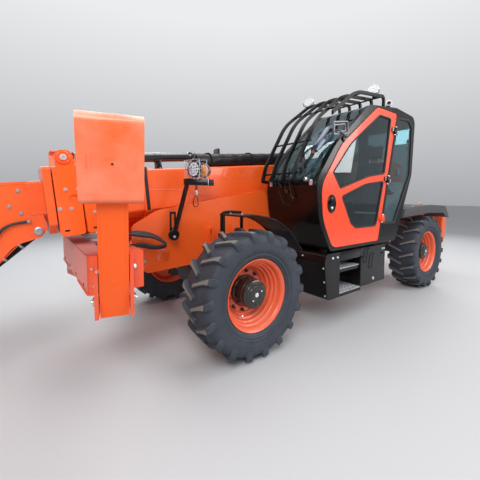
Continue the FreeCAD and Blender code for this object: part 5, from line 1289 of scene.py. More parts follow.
def makeSteps():
    bm = bmesh.new()
    face = sideFrame(stepFace)
    addBlock(bm, (0.186, 1.098, 0.75), (0.619, 1.14, 0.8545), 0.006, 0, here)
    for level, back, front in ((0.6484, 0.856, 1.1195), (0.3734, 0.856, 1.1395)):
        holes = []
        for row in range(5):
            for column in range(6):
                u = 0.232 + 0.069 * column
                v = back + 0.03 + row * (front - back - 0.06) / 4
                holes.append(stadium(u, v, 0.05, 0.024, 5))
        addHoledPlate(bm, flatLoop(rect(0.196, back, 0.614, front), [0.01] * 4), holes,
            movedAt(0, 0, level + 0.01), 0.004, 1)
        addBlock(bm, (0.196, front - 0.006, level), (0.614, front, level + 0.014), 0.001, 1, here)
        addBlock(bm, (0.196, back, level), (0.614, back + 0.005, level + 0.014), 0.001, 1, here)
        for column in range(7):
            u = 0.1975 + 0.069 * column
            addBlock(bm, (u - 0.002, back, level), (u + 0.002, front, level + 0.0099), 0, 1, here)
    for u, v in ((0.752, 0.8), (0.665, 0.8), (-0.318, 0.8), (-0.362, 0.8)):
        addBolt(bm, at(u, stepFace, v), (0, 1, 0), 0.0105, 2)
    for y, z in ((1.118, 0.7), (1.118, 0.545), (1.118, 0.385), (0.56, 0.7), (0.56, 0.4), (0.83, 0.8)):
        x = 0.8942 if z > 0.75 else 0.8442 + 0.05 * (z - 0.337) / 0.428
        addBolt(bm, at(x + 0.0004, y, z), (1, 0, -0.117), 0.0085, 2)
    # Panel seams, pressed slots and the bent grab bars
    for u in (0.872, -0.376, 0.176):
        seam = [(midX + u - (0.048 if u > 0.5 and v < 0.5 else 0), v, 0) for v in (0.39, 0.745)]
        addTube(bm, [face @ Vector(p) for p in seam], 0.0016, 6, 3)
    for k in range(4):
        addPlate(bm, stadium(midX + 0.735 - 0.002 * k, 0.69 - 0.052 * k, 0.07, 0.011, 4), face, 0.0012, 0, 3)
    for k in range(3):
        addPlate(bm, stadium(midX - 0.245, 0.715 - 0.04 * k, 0.058, 0.01, 4), face, 0.0012, 0, 3)
    for u, top in ((0.08, 0.84), (-0.045, 0.76)):
        addTube(bm, [at(u - 0.055, 1.1405, top), at(u - 0.055, 1.158, top), at(u, 1.16, top - 0.012),
            at(u + 0.016, 1.16, top - 0.15), at(u + 0.04, 1.158, top - 0.17),
            at(u + 0.04, 1.1405, top - 0.17)], 0.0045, 10, 4, bend=0.03)
    for u in (0.4, 0, -0.34):
        addBlock(bm, (u, 1.1405, 0.7465), (u + 0.16, 1.1425, 0.749), 0.0004, 3, here)
    # Lid hinge and lock on the rear box, drain plug below
    for u in (-0.33, 0.13):
        addLathe(bm, [(0.008, -0.03), (0.0085, -0.028), (0.0085, 0.028), (0.008, 0.03)],
            axisFrame(at(u, 1.149, 0.742), (1, 0, 0)), 14, 4)
    addLathe(bm, capped(0.02, 0.006, (0.016, 0.01)), axisFrame(at(-0.1, stepFace, 0.44), (0, 1, 0)), 24, 2)
    finishPiece("stepDressing", bm, ["dullBlack", "treadSteel", "brightSteel", "rubberSeal", "gunPaint"],
        "chassis", 35)


def makeFenders():
    x, z = middle("rim_front_left").xz
    inner, outer = (corner.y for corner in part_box("fender_front_left"))
    for mark, side in (("left", 1), ("right", -1)):
        bm = bmesh.new()
        stay = inner + 0.016
        arc = [(-11, 0.735), (0, 0.728), (20, 0.725), (40, 0.722), (62, 0.722)]

        def spot(k, y, lift):
            a, r = arc[k]
            angle = radians(a)
            return Vector((x - (r + lift) * sin(angle), side * y, z + (r + lift) * cos(angle)))
        for y in (outer + 0.001, inner + 0.004):
            addTube(bm, [spot(k, y, -0.007) for k in range(5)], 0.0105, bend=0.14)
        addTube(bm, [spot(4, inner + 0.004, -0.007), spot(4, outer + 0.001, -0.007)], 0.0105)
        # Front hoop: up beside the tyre and over the guard's edge
        hoop = [(0.132, 0.3), (0.132, 0.734), (0.05, 0.742), (-0.1, 0.732)]
        foot = [(0.132, 0.32), (0.11, 0.28)]
        for run, radius, sides, bend in ((hoop, 0.0135, 14, 0.045), (foot, 0.0125, 12, 0)):
            addTube(bm, [Vector((x + u, side * stay, z + v)) for u, v in run], radius, sides, bend=bend)
        for share in (0.25, 0.75):
            for a, r in ((-6, 0.732), (24, 0.7255)):
                angle = radians(a)
                y = side * (inner + (outer - inner) * share)
                up = Vector((-sin(angle), 0, cos(angle)))
                addBolt(bm, Vector((x, y, z)) + up * (r - 0.0005), up, 0.008, 1)
        finishPiece("fenderFrame_" + mark, bm, ["blackPaint", "brightSteel"], "steer_front_" + mark,
            40)
    # Rear guards: flutes on top, a rolled edge and bolts
    bm = bmesh.new()
    for side in (1, -1):
        start = -0.96 if side > 0 else -1.02
        wheelY = middle("rim_rear_left").y
        for k in range(9):
            y = side * (wheelY - 0.165 + 0.0435 * k)
            addTube(bm, [at(start, y, 1.3225), at(-1.75, y, 1.358), at(-2.365, y, 1.333)], 0.0055, 8,
                bend=0.18, section=(0.018, 0.009))
        for x, z in ((-1.25, 1.3335), (-2.25, 1.3385)):
            for off in (-0.14, 0.15):
                addBolt(bm, at(x, side * (wheelY + off), z), (0, 0, 1), 0.009, 1)
        # Skirt along the outer edge
        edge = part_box("rear_fenders")[1].y - 0.0065
        nose = [(-0.846, 1.196), (-0.909, 1.3155)] if side > 0 else [(-1.022, 1.215), (-1.022, 1.3195)]
        tail = [(-1.75, 1.3595), (-2.418, 1.3315), (-2.585, 1.132), (-2.48, 1.125), (-2.33, 1.212),
            (-1.75, 1.232), (-1.1, 1.2)]
        skirt = flatLoop(nose + tail, [0.02, 0.06, 0.3, 0.16, 0.02, 0.04, 0.15, 0.5, 0.12])
        addPlate(bm, skirt, here @ sideFrame(side * edge, side < 0), 0.008, 0.002, 0)
    finishPiece("rearGuardDressing", bm, ["guardGrey", "brightSteel"], "chassis", 40)


# Cab front: wiper, plugs with their leads, handles; inside: seat, wheel and levers


def makeCabFront():
    bm = bmesh.new()
    addLathe(bm, [(0.02, -0.03), (0.022, -0.026), (0.022, 0.01), (0.014, 0.018), (0, 0.018)],
        axisFrame(at(1.052, 0.99, 1.668), (0.97, 0, 0.22)), 20, 1)
    addTube(bm, [at(1.072, 0.99, 1.67), at(1.072, 0.975, 1.735), at(1.046, 0.935, 1.89),
        at(0.978, 0.8, 2.03)], 0.0075, 8, bend=0.05, section=(0.017, 0.008))
    addTube(bm, [at(1.042, 0.64, 1.905), at(0.99, 0.79, 2.018), at(0.905, 0.93, 2.12)], 0.006, 8,
        section=(0.01, 0.014), bend=0.03)
    # Plugs below the windscreen, and their leads
    for y, z in ((0.638, 1.604), (0.735, 1.533), (0.828, 1.477)):
        place = axisFrame(at(1.0775, y, z), (1, 0, 0.05))
        addLathe(bm, [(0.016, 0), (0.017, 0.01), (0.013, 0.012), (0.013, 0.022), (0.008, 0.026),
            (0, 0.026)], place, 18)
        addBlock(bm, (-0.014, -0.014, 0), (0.014, 0.014, 0.006), 0.002, 1, place)
    for points in ([(1.078, 0.628, 1.6), (1.092, 0.622, 1.56), (1.088, 0.707, 1.386), (1.086, 0.8, 1.386),
            (1.092, 0.84, 1.44), (1.08, 0.83, 1.47)], [(1.066, 0.6, 1.76), (1.088, 0.606, 1.7),
            (1.098, 0.64, 1.61)], [(1.054, 0.7, 1.8), (1.086, 0.712, 1.7), (1.1, 0.735, 1.54)],
            [(1.054, 0.755, 1.8), (1.084, 0.77, 1.69), (1.098, 0.826, 1.485)]):
        addTube(bm, [at(*p) for p in points], 0.0065 if points[0][2] > 1.7 else 0.0032, 8, bend=0.05)
    for y in (0.475, 1.08):
        addBlock(bm, (-0.004, -0.02, -0.03), (0.008, 0.02, 0.03), 0.003, 1,
            movedAt(1.073, y, 1.63) @ turned(0.06, "Y"))
        for up in (-0.018, 0.018):
            addBolt(bm, at(1.082, y, 1.63 + up), (1, 0, 0.05), 0.006, 1)
    # Front panel seam and its screws
    for z, x in ((1.08, 0.942), (1.44, 1.0655)):
        for y in (0.44, 0.77, 1.1):
            addBolt(bm, at(x + 0.002, y, z), (1, 0, -0.15), 0.006, 2)
    finishPiece("cabFront", bm, ["rubberSeal", "brightSteel", "gunPaint"], "chassis", 40)
    bm = bmesh.new()
    # Roof ribs and rear lamps
    for y in (0.5, 0.62, 0.74, 0.86, 0.98):
        addTube(bm, [at(-0.1, y, 2.6225), at(-0.56, y, 2.669), at(-1.03, y, 2.633)], 0.01, 8, bend=0.12,
            section=(0.026, 0.01))
    for y in (0.47, 1.07):
        addLathe(bm, [(0.033, 0), (0.035, 0.004), (0.035, 0.018), (0.028, 0.024), (0, 0.026)],
            axisFrame(at(-1.117, y, 2.3), (-1, 0, 0.02)), 28, 1)
        addLathe(bm, [(0.033, 0), (0.035, 0.004), (0.035, 0.018), (0.028, 0.024), (0, 0.026)],
            axisFrame(at(-1.115, y, 2.2), (-1, 0, 0.02)), 28, 2)
    finishPiece("cabOutside", bm, ["blackPlastic", "redLens", "amberLens"], "chassis", 40)


def makeSeat():
    bm = bmesh.new()
    floor = cab["floor"]
    cushion = [(-0.6, floor + 0.335), (-0.596, floor + 0.43), (-0.135, floor + 0.45),
        (-0.115, floor + 0.355)]
    back = [(-0.758, floor + 1.045), (-0.645, floor + 1.055), (-0.562, floor + 0.425),
        (-0.64, floor + 0.405)]
    for outline, low, high in ((cushion, 0.53, 1.01), (back, 0.54, 1.0)):
        for k in range(3):
            start = low + (high - low) * (0, 0.24, 0.76)[k]
            end = low + (high - low) * (0.24, 0.76, 1.0)[k]
            slab = movedAt(0, start + 0.002, 0) @ sideFrame(0)
            addPlate(bm, outline, slab, end - start - 0.004, 0.026, 0, 0.05, 4)
    addPlate(bm, [(-0.79, floor + 1.29), (-0.7, floor + 1.3), (-0.668, floor + 1.12),
        (-0.75, floor + 1.105)], movedAt(0, 0.665, 0) @ sideFrame(0), 0.21, 0.026, 0, 0.04, 4)
    pads = finishPiece("seatPads", bm, ["seatFabric"], "chassis", 50, ["seat"])
    bm = bmesh.new()
    addPlate(bm, [(-0.56, floor), (-0.56, floor + 0.1), (-0.5, floor + 0.31), (-0.2, floor + 0.31),
        (-0.18, floor + 0.1), (-0.18, floor)], movedAt(0, 0.6, 0) @ sideFrame(0), 0.34, 0.012, 0)
    # Folds of the bellows under the cushion
    for k in range(7):
        fold = [at(x, y, floor + 0.12 + 0.025 * k) for x, y in rect(-0.562, 0.598, -0.178, 0.942)]
        addTube(bm, fold, 0.008, 8, bend=0.02, loop=True)
    for y in (0.7, 0.84):
        addTube(bm, [at(-0.712, y, floor + 1.02), at(-0.722, y, floor + 1.16)], 0.007, 10, 1)
    for y in (0.49, 1.05):
        addTube(bm, [at(-0.625, y, floor + 0.58), at(-0.625, y, floor + 0.64), at(-0.3, y, floor + 0.655)],
            0.02, 10, bend=0.03, section=(0.05, 0.045))
    # Joystick pod by the armrest
    addLathe(bm, [(0.035, 0), (0.03, 0.015), (0.014, 0.045), (0.011, 0.09), (0.022, 0.115), (0.025, 0.16),
        (0.016, 0.185), (0, 0.188)], axisFrame(at(-0.29, 0.49, floor + 0.676), (0.12, 0, 1)), 20)
    finishPiece("seatFrame", bm, ["rubberSeal", "brightSteel"], "chassis", 40)


def makeConsole():
    bm = bmesh.new()
    floor = cab["floor"]
    axis = Vector((-0.21, 0, 0.2)).normalized()
    place = axisFrame(at(0.43, 0.77, floor + 0.76), axis)
    ring = [place @ polar(0.182, 2 * pi * k / 48, 0) for k in range(48)]
    addTube(bm, ring, 0.0165, 14, loop=True)
    for k in range(3):
        angle = pi / 2 + 2 * pi * k / 3
        addTube(bm, [place @ polar(0.03, angle, -0.03), place @ polar(0.178, angle, 0)], 0.01, 8,
            section=(0.03, 0.01))
    addLathe(bm, [(0.052, -0.04), (0.054, -0.03), (0.046, 0.004), (0.03, 0.01), (0, 0.011)], place)
    addLathe(bm, [(0.045, -0.26), (0.052, -0.2), (0.045, -0.055), (0.034, -0.042)], place, 24)
    for y, reach in ((-1, 0.15), (1, 0.17)):
        addTube(bm, [place @ Vector((0, 0.04 * y, -0.075)), place @ Vector((0.02, reach * y, -0.06))],
            [0.006, 0.01], 8)
    # Instruments on the dash, pedals on the floor and the levers' gate
    panel = movedAt(0.715, 0.7, floor + 0.6402) @ turned(-0.1, "Y")
    addBlock(bm, (-0.085, -0.13, 0.004), (0.075, 0.13, 0.03), 0.01, 0, panel)
    for y in (-0.075, 0, 0.075):
        addLathe(bm, [(0.03, 0.028), (0.032, 0.034), (0.028, 0.034), (0.027, 0.031), (0, 0.031)],
            panel @ moved(0, y, 0), 28, 1)
    for k in range(6):
        addBlock(bm, (-0.078, -0.115 + 0.04 * k, 0.028), (-0.058, -0.085 + 0.04 * k, 0.036), 0.002, 2, panel)
    for y in (0.6, 0.76):
        addTube(bm, [at(0.56, y, floor + 0.2), at(0.5, y, floor + 0.09)], 0.008, 10, 1)
        addBlock(bm, (-0.045, -0.035, 0), (0.045, 0.035, 0.01), 0.003, 0,
            movedAt(0.5, y, floor + 0.088) @ turned(0.5, "Y"))
    addBlock(bm, (-0.55, 0.462, floor + 0.0005), (-0.1, 0.512, floor + 0.5), 0.012, 0, here)
    for k in range(3):
        addTube(bm, [at(-0.2 - 0.09 * k, 0.487, floor + 0.5), at(-0.19 - 0.09 * k, 0.487, floor + 0.6)],
            0.005, 8, 1)
        addLathe(bm, [(0.01, 0), (0.016, 0.012), (0.015, 0.03), (0, 0.034)],
            axisFrame(at(-0.19 - 0.09 * k, 0.487, floor + 0.598), (0.1, 0, 1)), 16, 2)
    finishPiece("consoleDressing", bm, ["rubberSeal", "brightSteel", "lampWhite"], "chassis",
        40)


def makeRearTrim():
    # Lining of the cab's leaning rear wall, with a speaker, a tray and a moulded rib; its pale, faintly
    # glowing grey is painted light for the light falling into the cab
    bm = bmesh.new()
    up = Vector((-0.43, 0, 0.93)).normalized()
    inward = Vector((up.z, 0, -up.x))
    wall = frameFrom((0, 1, 0), up, inward, at(-0.64, 0, 0.87) + inward * 0.052)
    addPlate(bm, rect(0.455, 0.1, 1.085, 0.885), wall, 0.012, 0.003, 0, 0.04, 3)
    speaker = wall @ moved(0.975, 0.705, 0.012)
    addLathe(bm, [(0.052, -0.001), (0.052, 0.008), (0.043, 0.008), (0.04, 0.003)], speaker)
    addLathe(bm, [(0.041, 0.0015), (0.012, 0.0035), (0, 0.0035)], speaker, 32, 1)
    addBlock(bm, (0.79, 0.42, 0.012), (0.93, 0.58, 0.05), 0.008, 0, wall)
    addTube(bm, [wall @ Vector(p) for p in ((1.07, 0.8, 0.016), (0.83, 0.23, 0.016))], 0.01, 8,
        section=(0.03, 0.014))
    finishPiece("rearTrim", bm, ["trimGrey", "rubberSeal"], "chassis", 40)


makeSteps()
makeFenders()
makeRearTrim()
makeCabFront()
makeSeat()
makeConsole()
print("stage: steps, fenders and cab dressed")


# Chassis, hood and tail: hoses, plates, louvres, lamps and bolts


def ringPlate(bm, place, wide, high, thick, material, bevel=0.002, corner=0.01):
    addPlate(bm, rect(-wide / 2, -high / 2, wide / 2, high / 2), place, thick, bevel, material, corner)


def makeChassis():
    bm = bmesh.new()
    # Stabiliser hoses: three loops out of the beam's rear side
    for k in range(3):
        off, drop = 0.029 * k, 0.013 * k
        addTube(bm, [at(2.77, 0.452 + off, 1.058), at(2.766, 0.452 + off, 1.13 + drop),
            at(2.7, 0.455 + off, 1.165 - drop), at(2.56, 0.458 + off, 1.14 - drop),
            at(2.455 + drop, 0.46 + off, 1.078), at(2.392 + drop, 0.46 + off, 1.004 + drop),
            at(2.52, 0.458 + off, 0.992 + drop), at(2.66, 0.455 + off, 1.035 + drop),
            at(2.738, 0.452 + off, 1.045)], 0.0135, bend=0.085)
        addLathe(bm, capped(0.0155, 0.026, (0.0125, 0.032)), axisFrame(at(2.77, 0.452 + off, 1.0535),
            (0, 0, 1)), 6, 1)
    for side in (1, -1):
        plate = sideFrame(side * 0.3602, side < 0)
        # Welded edge of the tie-down eyes, service points and bolts on the side plates
        for u, v in ((2.3, 0.9), (1.3, 1.0), (-0.3, 0.88), (-1.5, 1.1), (-2.45, 1.0)):
            if side > 0 or u > 1.5 or u < -2:
                addLathe(bm, capped(0.066, 0.004, (0.058, 0.009)),
                    plate @ moved(midX + u + (0.1 if u > 2 else 0), v, 0), 36, 2)
        for u, v in ((2.58, 1.1), (2.58, 0.86), (1.62, 1.29), (0.98, 1.43), (1.62, 0.87), (1.1, 0.87)):
            addBolt(bm, plate @ Vector((midX + u, v, 0)), (0, side, 0), 0.013, 1)
        # Pivot caps of the boom
        cap = sideFrame(side * 0.4052, side < 0) @ moved(midX - 2.3, 1.955, 0)
        addLathe(bm, capped(0.078, 0.006, (0.066, 0.012), (0.022, 0.012), (0.02, 0.004)), cap, 40, 1)
        for k in range(4):
            addBolt(bm, cap @ polar(0.05, quarter(k), 0.012), (0, side, 0), 0.0085, 1)
    finishPiece("chassisDressing", bm, ["hoseRubber", "zincSteel", "orangePaint"], "chassis",
        40)


hoodTop = 1.4802


def makeHood():
    bm = bmesh.new()
    side = sideFrame(-1.1302, True)
    # Louvre blades in the side slots, and bars in the rear vents
    for k in range(7):
        z = wheelHeight + 0.15 + 0.062 * k
        addBlock(bm, (-0.838, -0.016, -0.0015), (-0.402, 0.016, 0.0015), 0.0006, 1,
            here @ moved(0, -1.1205, z + 0.013) @ turned(0.55, "X"))
        edge = [side @ Vector((midX + u, z + v, 0)) for u, v in rect(-0.845, -0.004, -0.395, 0.03)]
        addTube(bm, edge, 0.0028, 6, loop=True)
    for k in range(6):
        y = -1.13 + 0.11 + 0.078 * k + 0.02
        edge = [at(-0.9615, y + v, wheelHeight + u) for u, v in rect(0.166, -0.024, 0.704, 0.024)]
        addTube(bm, edge, 0.0026, 6, loop=True)
        for n in range(9):
            addBlock(bm, (-0.952, y - 0.02, 0.79 + 0.055 * n), (-0.948, y + 0.02, 0.8 + 0.055 * n), 0, 1,
                here)
    # Seams of the lift-up side, latches, hinges
    for loop in (rect(-0.93, 0.68, 0.2, 1.26), rect(0.24, 0.68, 0.86, 1.26)):
        addTube(bm, [side @ Vector((midX + u, v, 0)) for u, v in loop], 0.0022, 6, 3, loop=True, bend=0.02)
    for u in (-0.7, -0.05, 0.42, 0.7):
        spot = side @ moved(midX + u, 0.73, 0)
        ringPlate(bm, spot, 0.085, 0.04, 0.008, 1, 0.002, 0.012)
        addPlate(bm, rect(-0.03, -0.01, 0.024, 0.01), spot @ moved(0, 0, 0.009), 0.01, 0.003, 2, 0.006)
        addLathe(bm, [(0.008, 0.008), (0.008, 0.02), (0, 0.02)], spot @ moved(0.03, 0, 0), 16, 2)
    # Top: grille, filler cap, exhaust with its bend
    for k in range(8):
        addBlock(bm, (-0.7 + 0.05 * k, -0.86, hoodTop), (-0.678 + 0.05 * k, -0.56, 1.487), 0.002, 1, here)
    rim = [at(x, y, 1.4815) for x, y in rect(-0.725, -0.885, -0.3, -0.535)]
    addTube(bm, rim, 0.0075, 8, 1, loop=True)
    addLathe(bm, [(0.062, 0), (0.062, 0.01), (0.05, 0.014), (0.05, 0.042), (0.046, 0.048), (0, 0.05)],
        axisFrame(at(0.62, -0.6, hoodTop), (0, 0, 1)), 32, 1)
    for k in range(12):
        angle = 2 * pi * k / 12
        addBlock(bm, (0.049, -0.004, 0.014), (0.054, 0.004, 0.04), 0.001, 1,
            movedAt(0.62, -0.6, hoodTop) @ turned(angle, "Z"))
    addLathe(bm, [(0.085, 0), (0.085, 0.006), (0.06, 0.012), (0.05, 0.014)],
        axisFrame(at(0.06, -0.7, hoodTop), (0, 0, 1)), 32, 1)
    addTube(bm, [at(0.06, -0.7, 1.484), at(0.06, -0.7, 1.76), at(-0.06, -0.7, 1.84)], 0.04, 24, 4, bend=0.09)
    addTube(bm, [at(0.06, -0.7, 1.54), at(0.06, -0.7, 1.72)], 0.056, 28, 2)
    # Black dots on the exhaust guard: painted shade for its perforations
    for k in range(10):
        for j in range(8):
            angle = 2 * pi * k / 10
            spot = axisFrame(at(0.06 + 0.0555 * cos(angle), -0.7 + 0.0555 * sin(angle), 1.55 + 0.021 * j),
                (cos(angle), sin(angle), 0))
            addLathe(bm, capped(0.0055, 0.0012), spot, 8, 3)
    # Handrail on the hood and its feet
    addTube(bm, [at(0.4, -0.5, hoodTop), at(0.4, -0.5, 1.56), at(0.8, -0.5, 1.56), at(0.8, -0.5, hoodTop)],
        0.012, 12, 1, bend=0.04)
    finishPiece("hoodDressing", bm, ["orangePaint", "blackPaint", "brightSteel", "rubberSeal", "castGrey"],
        "chassis", 40)


def makeTail():
    bm = bmesh.new()
    back = Matrix(((0, 0, -1, midX - 2.8002), (-1, 0, 0, 0), (0, 1, 0, 0), (0, 0, 0, 1)))
    for side in (1, -1):
        for u, v, wide, high, mark in ((0.8, 1.08, 0.24, 0.085, 3), (0.8, 0.985, 0.24, 0.06, 4)):
            spot = back @ moved(side * u, v, 0)
            ringPlate(bm, spot, wide + 0.024, high + 0.024, 0.012, 1, 0.003, 0.016)
            ringPlate(bm, spot @ moved(0, 0, 0.012), wide, high, 0.016, mark, 0.004, 0.014)
            for k in range(7):
                addBlock(bm, (-wide / 2 + 0.03 + 0.03 * k, -high / 2 + 0.006, 0.0275),
                    (-wide / 2 + 0.033 + 0.03 * k, high / 2 - 0.006, 0.0295), 0, mark, spot)
        for v in (0.8, 1.12):
            spot = back @ moved(side * 0.45, v, 0)
            addLathe(bm, [(0.048, 0), (0.05, 0.004), (0.044, 0.01), (0, 0.01)], spot)
            addBolt(bm, spot @ Vector((0, 0, 0.01)), (-1, 0, 0), 0.022, 2)
        # Lifting eyes on top
        eye = [at(-2.55 + 0.055 * cos(a), side * 0.7, 1.3105 + 0.055 * sin(a))
            for a in (pi * k / 12 for k in range(13))]
        addTube(bm, [at(-2.495, side * 0.7, 1.2895)] + eye[1:-1] + [at(-2.605, side * 0.7, 1.2895)], 0.013)
        for x in (-2.495, -2.605):
            addLathe(bm, [(0.024, 0), (0.02, 0.008), (0.0135, 0.012)],
                axisFrame(at(x, side * 0.7, 1.2902), (0, 0, 1)), 20)
        addTube(bm, [at(-2.79, side * 1.0405, 0.78), at(-2.66, side * 1.0405, 0.66),
            at(-2.64, side * 1.0405, 1.27)], 0.0022, 6, 5)
    # Bare number plate with its screws and lamp
    spot = back @ moved(0, 1.06, 0)
    ringPlate(bm, spot, 0.44, 0.14, 0.006, 1, 0.002, 0.012)
    ringPlate(bm, spot @ moved(0, 0, 0.006), 0.42, 0.12, 0.003, 6, 0.001, 0.01)
    for u in (-0.17, 0.17):
        addBolt(bm, spot @ Vector((u, 0.035, 0.009)), (-1, 0, 0), 0.006, 2)
    addBlock(bm, (-0.05, 0.078, 0), (0.05, 0.1, 0.03), 0.005, 1, spot)
    # Tow pin with its handle and clip
    pin = at(-2.85, 0, 0.642)
    addLathe(bm, [(0.0135, 0), (0.0145, 0.006), (0.0145, 0.15), (0.026, 0.15), (0.026, 0.16), (0, 0.16)],
        axisFrame(pin, (0, 0, 1)), 20, 2)
    addTube(bm, [at(-2.85, 0, 0.8), at(-2.85, 0, 0.83), at(-2.85, 0.055, 0.85), at(-2.85, 0.055, 0.885),
        at(-2.85, -0.055, 0.885), at(-2.85, -0.055, 0.85), at(-2.85, 0, 0.83)], 0.0075, 10, 2, bend=0.015)
    finishPiece("tailDressing", bm, ["orangePaint", "blackPlastic", "brightSteel", "redLens", "amberLens",
        "rubberSeal", "blankPlate"], "chassis", 40)


axleSizes = {"diff": 0.185, "wide": 0.34, "beam": 0.092}


def makeAxles():
    bm = bmesh.new()
    for mark, end in (("front", 1), ("rear", -1)):
        x, z = middle("rim_%s_left" % mark).x, wheelHeight
        low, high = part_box(mark + "_axle")
        for side in (1, -1):
            for up in (1, -1):
                level = high.z if up > 0 else low.z
                place = axisFrame((x, side * 0.7, level), (0, 0, up))
                addLathe(bm, capped(0.04, 0.006, (0.03, 0.01)), place, 28)
                for k in range(4):
                    addBolt(bm, place @ polar(0.029, quarter(k), 0.008), (0, 0, up), 0.006, 1, washer=False)
        # Differential: bolted faces on both ends
        for side in (1, -1):
            r = axleSizes["diff"] - 0.016
            for k in range(12):
                angle = 2 * pi * k / 12
                point = Vector((x + r * cos(angle), side * (axleSizes["wide"] / 2 + 0.0002),
                    z + r * sin(angle)))
                addBolt(bm, point, (0, side, 0), 0.008, 1, washer=False)
            pipe = [Vector((x - 0.03 * end, side * y, z + axleSizes["beam"] + 0.006))
                for y in (0.1, 0.34, 0.5)]
            addTube(bm, pipe, 0.006, 8, 2)
            r = axleSizes["beam"] + 0.002
            for y in (0.18, 0.42):
                band = [Vector((x + r * cos(2 * pi * k / 24), side * y, z + r * sin(2 * pi * k / 24)))
                    for k in range(24)]
                addTube(bm, band, 0.004, 6, 1, loop=True, section=(0.02, 0.004))
        addLathe(bm, capped(0.02, 0.012), axisFrame((x, 0.03, z - axleSizes["diff"] + 0.001), (0, 0, -1)),
            6, 1)
    finishPiece("axleDressing", bm, ["castGrey", "zincSteel", "rubberSeal"], "chassis", 40)


tiltFoot = (headPoint(5.73, -0.24).x - midX, headPoint(5.73, -0.24).z)
tiltEye = (headPoint(6.297, -0.761).x - midX - 0.06, headPoint(6.297, -0.761).z + 0.18)
# Name, body, foot, eye, radius, share of the run that the barrel takes, radius of the rod
cylinders = [("lift", "lift_barrel", (-1.2, 0.93), (0.9, 1.34), 0.088, 0.9, 0.048),
    ("tilt", "tilt_barrel", tiltFoot, tiltEye, 0.05, 0.82, 0.028)]


def makeCylinders():
    # Gland rings, hose ports and steel pipes on the lift and tilt cylinders
    for name, body, foot, eye, radius, share, bar in cylinders:
        run = Vector((eye[0] - foot[0], 0, eye[1] - foot[1]))
        way = run.normalized()
        start = at(foot[0], 0, foot[1])
        reach = run.length * share
        place = axisFrame(start, way)
        bm = bmesh.new()
        addLathe(bm, [(radius + 0.0002, reach - 0.08), (radius + 0.0055, reach - 0.078),
            (radius + 0.0055, reach - 0.066), (radius + 0.0002, reach - 0.062)], place, 40, 0, closed=True)
        addLathe(bm, [(bar + 0.0012, reach + 0.0002), (radius - 0.004, reach + 0.0002),
            (radius - 0.006, reach + 0.006), (bar + 0.006, reach + 0.008), (bar + 0.0012, reach + 0.004)],
            place, 40, 1, closed=True)
        for k in range(8):
            angle = 2 * pi * k / 8 + 0.2
            ring = (bar + radius) / 2 + 0.004
            spot = place @ polar(ring, angle, reach + 0.006)
            addBolt(bm, spot, way, 0.0062 if name == "lift" else 0.004, 1, washer=False)
        top = place.inverted().to_3x3() @ Vector((0, 0, 1))
        up = Vector((top.x, top.y, 0)).normalized()
        across = Vector((-up.y, up.x, 0))
        for along in (0.16, reach - 0.105):
            base = place @ (across * (radius * 0.7) + up * (radius * 0.7) + Vector((0, 0, along)))
            out = (place.to_3x3() @ (across + up)).normalized()
            addLathe(bm, [(0.016, -0.006), (0.016, 0.012), (0.011, 0.014), (0.011, 0.026), (0, 0.026)],
                axisFrame(base, out), 6, 1)
        off = radius * 0.7 + 0.018
        pipe = [place @ (across * off + up * off + Vector((0, 0, along)))
            for along in (0.16, 0.19, reach - 0.14, reach - 0.105)]
        addTube(bm, pipe, 0.0065, 10, 1, bend=0.02)
        for level in (reach * 0.35, reach * 0.65):
            addLathe(bm, rect(radius + 0.0004, level, radius + 0.003, level + 0.018), place, 40, 1,
                closed=True)
        finishPiece(name + "BarrelDressing", bm, ["blackPaint", "zincSteel"], body, 40)


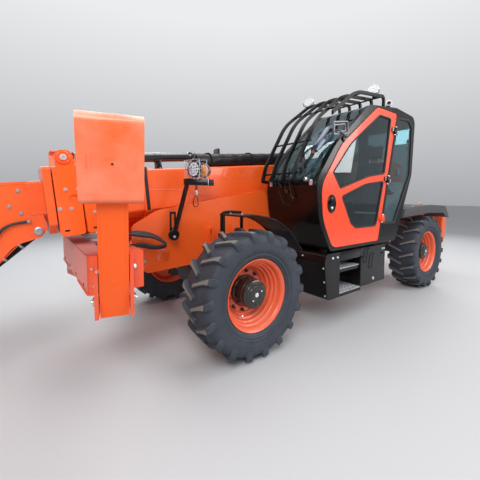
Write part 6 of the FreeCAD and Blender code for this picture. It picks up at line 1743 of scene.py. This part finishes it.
def makeCarriage():
    bm = bmesh.new()
    low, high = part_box("fork_carriage")
    pivot = headPoint(6.297, -0.761)
    for side in (1, -1):
        place = axisFrame((pivot.x, side * 0.189, pivot.z), (0, side, 0))
        addLathe(bm, [(0.044, 0), (0.046, 0.004), (0.046, 0.016), (0.04, 0.02), (0, 0.02)], place, 36, 1)
        addBlock(bm, (-0.06, -0.013, 0), (0.06, 0.013, 0.024), 0.003, 0, place @ turned(0.6, "Z"))
        for u in (-0.048, 0.048):
            addBolt(bm, place @ turned(0.6, "Z") @ Vector((u, 0, 0.024)), (0, side, 0), 0.008, 1)
        # Fork locks on the top bar
        spot = moved(high.x - 0.02, side * 0.33, high.z)
        addBlock(bm, (-0.022, -0.026, 0.0003), (0.016, 0.026, 0.03), 0.004, 0, spot)
        addLathe(bm, [(0.009, 0.03), (0.009, 0.055), (0.015, 0.057), (0.015, 0.066), (0, 0.068)], spot, 16,
            1)
    # Bolts across the carriage's back
    for y in (-0.52, -0.36, 0.36, 0.52):
        for z in (high.z - 0.04, low.z + 0.04):
            addBolt(bm, Vector((high.x - 0.0402, y, z)), (-1, 0, 0), 0.011, 1)
    finishPiece("carriageDressing", bm, ["orangePaint", "zincSteel"], "carriage", 40)
    bm = bmesh.new()
    # Worn tops of the tines by their heels
    low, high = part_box("forks")
    for side in (1, -1):
        y = side * 0.33
        addBlock(bm, (low.x + 0.075, y - 0.052, 0.1452), (low.x + 0.3, y + 0.052, 0.146), 0, 0,
            moved(0, 0, 0.0396))
    finishPiece("forkWear", bm, ["zincSteel"], "carriage", 40)


makeChassis()
makeHood()
makeTail()
makeAxles()
makeCylinders()
makeCarriage()
makeHead()
print("stage: chassis, tail and cylinders dressed")

# Floor, which isn't part of the machine


def makeFloor():
    bm = bmesh.new()
    size = 60
    bm.faces.new([bm.verts.new((x, y, 0)) for x, y in rect(-size, -size, size, size)])
    mesh = bpy.data.meshes.new("floor")
    bm.to_mesh(mesh)
    bm.free()
    floor = bpy.data.objects.new("floor", mesh)
    scene.collection.objects.link(floor)
    floor.location = (0, 0, -0.001)
    material = bpy.data.materials.new("floorPale")
    material.use_nodes = True
    shader = material.node_tree.nodes["Principled BSDF"]
    shader.inputs["Base Color"].default_value = light["floorColour"] + (1,)
    shader.inputs["Roughness"].default_value = 0.6
    mesh.materials.append(material)


makeFloor()
print("stage: done")
